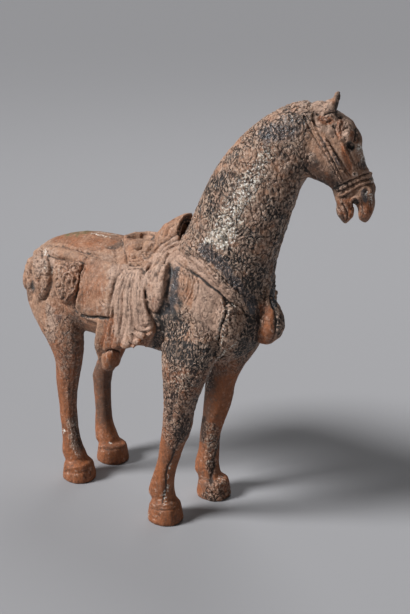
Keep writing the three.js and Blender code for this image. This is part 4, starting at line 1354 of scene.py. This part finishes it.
def finishFields(points, normals):
    moved, _ = brought(points, normals)
    upperSpots = photoSpots(moved)
    lowerSpots = photoSpots(points)
    shown = softStep(normals @ np.array(towardsCamera()), -0.05, 0.2)
    low = lowShare(points)
    fields = {}
    for name in finishes:
        upper = np.clip(readSheet(upperSheets[name], upperSpots), 0, 1)
        plain = legFinish[name].get("back", legFinish[name]["base"])
        lower = plain + (np.clip(readSheet(legSheets[name], lowerSpots), 0, 1) - plain) * shown
        fields[name] = upper * (1 - low) + lower * low
    return fields


# How deep each point lies in a hollow (above 0.5) or stands on an edge (below 0.5)
def hollowField(points, normals, edges):
    fine = np.sum((eased(points, edges, 2) - points) * normals, 1)
    wide = np.sum((eased(points, edges, 14) - points) * normals, 1)
    return np.clip(0.5 + fine / (0.8 * mm) + wide / (2.4 * mm), 0, 1)


def storeField(piece, name, values):
    known = piece.data.attributes.get(name)
    if known:
        piece.data.attributes.remove(known)
    attribute = piece.data.attributes.new(name, "FLOAT", "POINT")
    attribute.data.foreach_set("value", np.asarray(values, np.float32))


def addNode(tree, kind, inputs=None, **settings):
    made = tree.nodes.new(kind)
    for name, value in settings.items():
        setattr(made, name, value)
    for name, value in (inputs or {}).items():
        socket = made.inputs[name]
        if isinstance(value, bpy.types.NodeSocket):
            tree.links.new(value, socket)
        else:
            socket.default_value = value
    return made


def addMath(tree, operation, first, second=0.5, clamp=False):
    return addNode(tree, "ShaderNodeMath", {0: first, 1: second}, operation=operation, use_clamp=clamp).outputs[0]


def addRange(tree, value, low, high, start=0.0, end=1.0):
    made = addNode(tree, "ShaderNodeMapRange", {
        "Value": value, "From Min": low, "From Max": high, "To Min": start, "To Max": end,
    }, interpolation_type="SMOOTHSTEP")
    return made.outputs["Result"]


def addMix(tree, share, first, second, blend="MIX"):
    made = addNode(tree, "ShaderNodeMix", {}, data_type="RGBA", blend_type=blend, clamp_factor=True)
    for index, value in ((0, share), (6, first), (7, second)):
        if isinstance(value, bpy.types.NodeSocket):
            tree.links.new(value, made.inputs[index])
        elif index:
            made.inputs[index].default_value = (*value, 1)
        else:
            made.inputs[index].default_value = value
    return made.outputs[2]


def addBlend(tree, share, first, second):
    made = addNode(tree, "ShaderNodeMix", {0: share, 2: first, 3: second}, data_type="FLOAT")
    return made.outputs[0]


# Curly lines: the level lines of a warped noise. The same nodes raise the mesh and colour it
def fillWormLines(tree):
    face = tree.interface
    for name, kind, value in (("Vector", "NodeSocketVector", None), ("Scale", "NodeSocketFloat", 160.0),
                              ("Width", "NodeSocketFloat", 0.07), ("Warp", "NodeSocketFloat", 0.8)):
        socket = face.new_socket(name, in_out="INPUT", socket_type=kind)
        if value is not None:
            socket.default_value = value
    face.new_socket("Lines", in_out="OUTPUT", socket_type="NodeSocketFloat")
    given = tree.nodes.new("NodeGroupInput").outputs
    drawn = addNode(tree, "ShaderNodeVectorMath", {0: given["Vector"], 1: (1.0, 1.0, 0.66)},
                    operation="MULTIPLY").outputs[0]
    warpScale = addMath(tree, "MULTIPLY", given["Scale"], 0.45)
    warp = addNode(tree, "ShaderNodeTexNoise", {"Vector": drawn, "Scale": warpScale, "Detail": 1.0})
    centred = addNode(tree, "ShaderNodeVectorMath", {0: warp.outputs["Color"], 1: (0.5, 0.5, 0.5)},
                      operation="SUBTRACT")
    reach = addMath(tree, "DIVIDE", given["Warp"], given["Scale"])
    moved = addNode(tree, "ShaderNodeVectorMath", {0: centred.outputs[0], "Scale": reach}, operation="SCALE")
    spot = addNode(tree, "ShaderNodeVectorMath", {0: drawn, 1: moved.outputs[0]}, operation="ADD")
    field = addNode(tree, "ShaderNodeTexNoise", {
        "Vector": spot.outputs[0], "Scale": given["Scale"], "Detail": 1.5, "Roughness": 0.45,
    })
    level = addMath(tree, "ABSOLUTE", addMath(tree, "SUBTRACT", field.outputs[0], 0.5))
    lines = addRange(tree, level, 0.0, given["Width"], 1.0, 0.0)
    result = tree.nodes.new("NodeGroupOutput")
    tree.links.new(lines, result.inputs["Lines"])


wormShader = bpy.data.node_groups.new("wormLines", "ShaderNodeTree")
fillWormLines(wormShader)
wormMesh = bpy.data.node_groups.new("wormLinesOnMesh", "GeometryNodeTree")
fillWormLines(wormMesh)

# Pale worms and dark cracks share these sizes between the mesh and the paint
wormSizes = {
    "pale": {"Scale": 165.0, "Width": 0.14, "Warp": 1.5},
    "fine": {"Scale": 265.0, "Width": 0.16, "Warp": 1.6},
    "dark": {"Scale": 135.0, "Width": 0.055, "Warp": 1.5},
    "rise": 0.8 * mm,
    "sink": 0.6 * mm,
}

# Unevenness of hand-finished clay, from broad dents to fine grit: scale, rise
unevenness = ((26, 1.3 * mm), (80, 0.75 * mm), (210, 0.35 * mm))


def addWorms(tree, kind, vector, sizes):
    made = tree.nodes.new(kind)
    made.node_tree = wormMesh if kind == "GeometryNodeGroup" else wormShader
    tree.links.new(vector, made.inputs["Vector"])
    for name, value in sizes.items():
        made.inputs[name].default_value = value
    return made.outputs["Lines"]


# Streaks that run down the figure: a noise drawn out along its height
streakSizes = {"scale": 290.0, "flatten": 0.05, "rise": 0.5 * mm}


def addStreaks(tree, vector):
    drawn = addNode(tree, "ShaderNodeVectorMath", {0: vector, 1: (1.0, 1.0, streakSizes["flatten"])},
                    operation="MULTIPLY")
    noiseNode = addNode(tree, "ShaderNodeTexNoise", {
        "Vector": drawn.outputs[0], "Scale": streakSizes["scale"], "Detail": 2.0, "Roughness": 0.55,
    })
    return addMath(tree, "SUBTRACT", noiseNode.outputs[0], 0.5)


# Raises the flaking and the unevenness as real relief
def addClayTexture(piece):
    tree = bpy.data.node_groups.new("clayTexture", "GeometryNodeTree")
    tree.interface.new_socket("Geometry", in_out="INPUT", socket_type="NodeSocketGeometry")
    tree.interface.new_socket("Geometry", in_out="OUTPUT", socket_type="NodeSocketGeometry")
    given = tree.nodes.new("NodeGroupInput").outputs
    position = tree.nodes.new("GeometryNodeInputPosition").outputs[0]
    normal = tree.nodes.new("GeometryNodeInputNormal").outputs[0]
    worms = addNode(tree, "GeometryNodeInputNamedAttribute", {"Name": "worms"}, data_type="FLOAT").outputs[0]
    pale = addWorms(tree, "GeometryNodeGroup", position, wormSizes["pale"])
    dark = addWorms(tree, "GeometryNodeGroup", position, wormSizes["dark"])
    height = addMath(tree, "MULTIPLY", pale, wormSizes["rise"])
    height = addMath(tree, "SUBTRACT", height, addMath(tree, "MULTIPLY", dark, wormSizes["sink"]))
    height = addMath(tree, "MULTIPLY", height, worms)
    for scale, rise in unevenness:
        bumps = addNode(tree, "ShaderNodeTexNoise", {"Vector": position, "Scale": float(scale), "Detail": 1.0})
        centred = addMath(tree, "SUBTRACT", bumps.outputs[0], 0.5)
        height = addMath(tree, "ADD", height, addMath(tree, "MULTIPLY", centred, rise))
    streaks = addNode(tree, "GeometryNodeInputNamedAttribute", {"Name": "streaks"}, data_type="FLOAT").outputs[0]
    runs = addMath(tree, "MULTIPLY", addStreaks(tree, position), streaks)
    height = addMath(tree, "ADD", height, addMath(tree, "MULTIPLY", runs, streakSizes["rise"]))
    offset = addNode(tree, "ShaderNodeVectorMath", {0: normal, "Scale": height}, operation="SCALE")
    moved = addNode(tree, "GeometryNodeSetPosition", {"Geometry": given[0], "Offset": offset.outputs[0]})
    result = tree.nodes.new("NodeGroupOutput")
    tree.links.new(moved.outputs[0], result.inputs[0])
    modifier = piece.modifiers.new("clayTexture", "NODES")
    modifier.node_group = tree
    applyModifiers(piece)


remesh(horse, body["fineVoxel"])
points = places(horse)
normals = normalsOf(horse)
setPlaces(horse, points + normals * drawnRelief(points, normals)[:, None])
print("stage: drawn relief", len(points))

fields = finishFields(places(horse), normalsOf(horse))
storeField(horse, "worms", fields["worms"])
storeField(horse, "streaks", fields["streaks"])
addClayTexture(horse)
print("stage: clay texture")

triangles = 2 * len(horse.data.polygons)
if triangles > body["mostTriangles"]:
    modifier = horse.modifiers.new("lighter", "DECIMATE")
    modifier.ratio = body["mostTriangles"] / triangles
    applyModifiers(horse)
points = np.clip(places(horse), cadBox[0], cadBox[1])
setPlaces(horse, points)
pickOnly(horse)
bpy.ops.object.shade_smooth()
print("stage: lighter mesh", len(horse.data.polygons))

normals = normalsOf(horse)
for name, field in finishFields(points, normals).items():
    storeField(horse, name, field)
storeField(horse, "hollow", hollowField(points, normals, edgesOf(horse)))
print("stage: finish fields")

clayLooks = {
    "tan": (0.405, 0.228, 0.142),
    "amber": (0.30, 0.093, 0.027),
    "deepClay": (0.11, 0.045, 0.022),
    "slip": (0.515, 0.34, 0.255),
    "slipDust": (0.415, 0.275, 0.205),
    "sooty": (0.098, 0.056, 0.038),
    "black": (0.014, 0.012, 0.011),
    "brownBlack": (0.042, 0.021, 0.014),
    # painted sheen: black lightened to blue-grey
    "sheenBlueGrey": (0.052, 0.052, 0.058),
    "crack": (0.085, 0.042, 0.027),
    "blackCrack": (0.016, 0.012, 0.010),
    "dullWorm": (0.20, 0.145, 0.115),
    "worm": (0.47, 0.335, 0.25),
    "rustWorm": (0.25, 0.125, 0.075),
    # cream of salts and of painted highlights
    "creamSaltAndHighlight": (0.62, 0.54, 0.43),
    # white of salts and of painted glints
    "saltAndGlint": (0.78, 0.75, 0.69),
    # painted shade and dirt for the hollows
    "grimeAndShade": (0.034, 0.019, 0.012),
    "stain": (0.10, 0.055, 0.036),
    "moss": (0.10, 0.108, 0.036),
    "mottleScale": 34.0,
    "stainScale": 55.0,
    "patchScale": 95.0,
    "fleckScale": 250.0,
    "speckScale": 430.0,
    "grainScale": 720.0,
    "bumpDistance": 0.0012,
    "specular": 0.5,
}


def makeFiredClay():
    looks = clayLooks
    clay = bpy.data.materials.new("firedClay")
    clay.use_nodes = True
    tree = clay.node_tree
    shader = tree.nodes["Principled BSDF"]
    shader.inputs["Specular IOR Level"].default_value = looks["specular"]
    spot = tree.nodes.new("ShaderNodeTexCoord").outputs["Object"]

    def field(name):
        return addNode(tree, "ShaderNodeAttribute", attribute_name=name).outputs["Fac"]

    def speckle(scale, detail=4.0, shift=0.0):
        place = spot
        if shift:
            place = addNode(tree, "ShaderNodeMapping", {"Vector": spot, "Location": (shift, 0, shift)}).outputs[0]
        made = addNode(tree, "ShaderNodeTexNoise", {
            "Vector": place, "Scale": scale, "Detail": detail, "Roughness": 0.6,
        })
        return made.outputs[0]

    def times(first, second):
        return addMath(tree, "MULTIPLY", first, second)

    def plus(first, second):
        return addMath(tree, "ADD", first, second)

    def spread(mask, noiseValue, amount, low, high):
        shaken = times(addMath(tree, "SUBTRACT", noiseValue, 0.5), amount)
        return addRange(tree, plus(mask, shaken), low, high)

    mottle = speckle(looks["mottleScale"], 4.0)
    broad = addMath(tree, "SUBTRACT", speckle(looks["mottleScale"] * 1.3, 3.0, 21.3), 0.5)
    stains = speckle(looks["stainScale"], 6.0, 12.9)
    patch = speckle(looks["patchScale"], 5.0, 3.1)
    otherPatch = speckle(looks["patchScale"] * 1.4, 5.0, 7.7)
    fleck = speckle(looks["fleckScale"], 4.0, 5.3)
    speck = speckle(looks["speckScale"], 2.0, 1.7)
    grain = speckle(looks["grainScale"], 3.0)
    coarse = addWorms(tree, "ShaderNodeGroup", spot, wormSizes["pale"])
    fine = addWorms(tree, "ShaderNodeGroup", spot, wormSizes["fine"])
    dark = addWorms(tree, "ShaderNodeGroup", spot, wormSizes["dark"])
    saltAndGlint = field("saltAndGlint")
    hollow = field("hollow")
    streaks = field("streaks")
    # Flaking, soot and the shade painted with it come and go in patches, strongest where the flaking is
    worms = field("worms")
    soot = plus(field("soot"), times(times(broad, worms), 2.0))
    worms = times(worms, addRange(tree, plus(patch, times(broad, 0.5)), 0.36, 0.56, 0.4, 1.0))

    # Bare clay, from pinkish tan to strong orange, darker in its pores
    colour = addMix(tree, spread(field("amber"), mottle, 1.3, 0.2, 0.9), looks["tan"], looks["amber"])
    pores = plus(times(otherPatch, 0.5), times(fleck, 0.5))
    colour = addMix(tree, addRange(tree, pores, 0.5, 0.66, 0.0, 0.5), colour, looks["deepClay"])

    # Buff slip, worn through in patches
    slipped = spread(field("slip"), plus(times(patch, 0.6), times(fleck, 0.4)), 2.4, 0.3, 0.62)
    slipTone = addMix(tree, addRange(tree, mottle, 0.4, 0.62), looks["slip"], looks["slipDust"])
    colour = addMix(tree, times(slipped, 0.85), colour, slipTone)

    # Brown stains and runs
    runs = addStreaks(tree, spot)
    stain = plus(addRange(tree, stains, 0.46, 0.7, 0.0, 0.7), times(addRange(tree, runs, 0.03, 0.15), streaks))
    colour = addMix(tree, times(stain, 0.55), colour, looks["stain"])
    dusted = addRange(tree, field("slip"), 0.05, 0.4, 0.15, 0.7)
    dusty = times(times(addRange(tree, runs, -0.02, -0.12), streaks), dusted)
    colour = addMix(tree, dusty, colour, looks["slip"])

    # Soot and painted shade: a brown veil where it is thin, black flecks and fields where it is thick
    veil = spread(soot, plus(times(otherPatch, 0.4), times(fleck, 0.6)), plus(worms, 0.9), 0.12, 0.5)
    colour = addMix(tree, times(veil, 0.86), colour, looks["sooty"])
    blackNoise = plus(times(otherPatch, 0.65), times(fleck, 0.35))
    blackened = spread(soot, blackNoise, plus(times(worms, 1.3), 0.7), 0.44, 0.62)
    blackTone = addMix(tree, addRange(tree, field("amber"), 0.38, 0.62), looks["black"], looks["brownBlack"])
    colour = addMix(tree, blackened, colour, blackTone)

    # Pale worms left standing on it, in two sizes, dull to buff, creamy where salts lie and where highlights are
    # painted
    pale = addBlend(tree, addRange(tree, patch, 0.44, 0.56), coarse, fine)
    cut = plus(times(soot, 0.6), 0.14)
    crisp = addNode(tree, "ShaderNodeMapRange", {
        "Value": pale, "From Min": addMath(tree, "SUBTRACT", cut, 0.2), "From Max": plus(cut, 0.2),
    }, interpolation_type="SMOOTHSTEP").outputs["Result"]
    paleWorms = times(crisp, worms)
    wormTone = addMix(tree, addRange(tree, fleck, 0.36, 0.56), looks["dullWorm"], looks["worm"])
    wormTone = addMix(tree, addRange(tree, mottle, 0.5, 0.66, 0.0, 0.6), wormTone, looks["tan"])
    rusty = times(addRange(tree, field("amber"), 0.38, 0.62, 0.0, 0.85), addRange(tree, fleck, 0.6, 0.4, 0.4, 1.0))
    wormTone = addMix(tree, rusty, wormTone, looks["rustWorm"])
    wormTone = addMix(tree, spread(saltAndGlint, speck, 1.6, 0.26, 0.5), wormTone, looks["creamSaltAndHighlight"])
    colour = addMix(tree, times(paleWorms, 0.88), colour, wormTone)
    cracks = times(dark, addRange(tree, worms, 0.0, 0.7))
    crackTone = addMix(tree, addRange(tree, soot, 0.1, 0.3), looks["crack"], looks["blackCrack"])
    colour = addMix(tree, times(cracks, 0.8), colour, crackTone)

    # Smooth black lightened to blue-grey: a painted sheen; the same mask lowers the roughness below for real gloss
    sheenAndGloss = spread(field("sheen"), plus(times(patch, 0.5), times(fleck, 0.5)), 1.0, 0.16, 0.7)
    colour = addMix(tree, times(sheenAndGloss, 0.85), colour, looks["sheenBlueGrey"])

    # A creamy film of salts and painted highlight with white painted glints in it, and the green stain
    filmAndHighlight = spread(saltAndGlint, plus(times(fleck, 0.6), times(patch, 0.4)), 1.9, 0.5, 0.85)
    colour = addMix(tree, times(filmAndHighlight, 0.5), colour, looks["creamSaltAndHighlight"])
    paintedGlints = times(spread(saltAndGlint, speck, 1.0, 0.36, 0.62), addRange(tree, speck, 0.5, 0.6))
    colour = addMix(tree, paintedGlints, colour, looks["saltAndGlint"])
    stained = times(times(field("moss"), addRange(tree, fleck, 0.4, 0.56)), addRange(tree, otherPatch, 0.34, 0.5))
    colour = addMix(tree, stained, colour, looks["moss"])

    # Fine mottling over everything
    grit = addRange(tree, plus(times(fleck, 0.5), times(speck, 0.5)), 0.36, 0.62, 0.74, 1.12)
    colour = addMix(tree, 1.0, colour, grit, "MULTIPLY")

    # Painted shade and dirt darken the hollows; worn and dusty edges
    dirtAndShade = addRange(tree, hollow, 0.54, 0.85)
    colour = addMix(tree, times(dirtAndShade, 0.65), colour, looks["grimeAndShade"])
    worn = times(addRange(tree, hollow, 0.46, 0.2), addRange(tree, speck, 0.38, 0.58))
    colour = addMix(tree, times(worn, 0.7), colour, looks["slip"])
    tree.links.new(colour, shader.inputs["Base Color"])

    gloss = addMath(tree, "MAXIMUM", sheenAndGloss, times(worms, addRange(tree, patch, 0.38, 0.6, 0.35, 1.0)))
    rough = addMath(tree, "SUBTRACT", addRange(tree, grain, 0.3, 0.7, 0.62, 0.8), times(gloss, 0.42))
    tree.links.new(rough, shader.inputs["Roughness"])

    height = times(paleWorms, 0.8)
    height = addMath(tree, "SUBTRACT", height, times(cracks, 0.7))
    height = plus(height, times(slipped, 0.3))
    height = plus(height, times(fleck, 0.9))
    height = plus(height, times(grain, 0.35))
    bump = addNode(tree, "ShaderNodeBump", {"Height": height, "Strength": 0.95, "Distance": looks["bumpDistance"]})
    tree.links.new(bump.outputs[0], shader.inputs["Normal"])
    return clay


horse.data.materials.clear()
horse.data.materials.append(makeFiredClay())

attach(horse, "root")
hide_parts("horse")

print("stage: done")
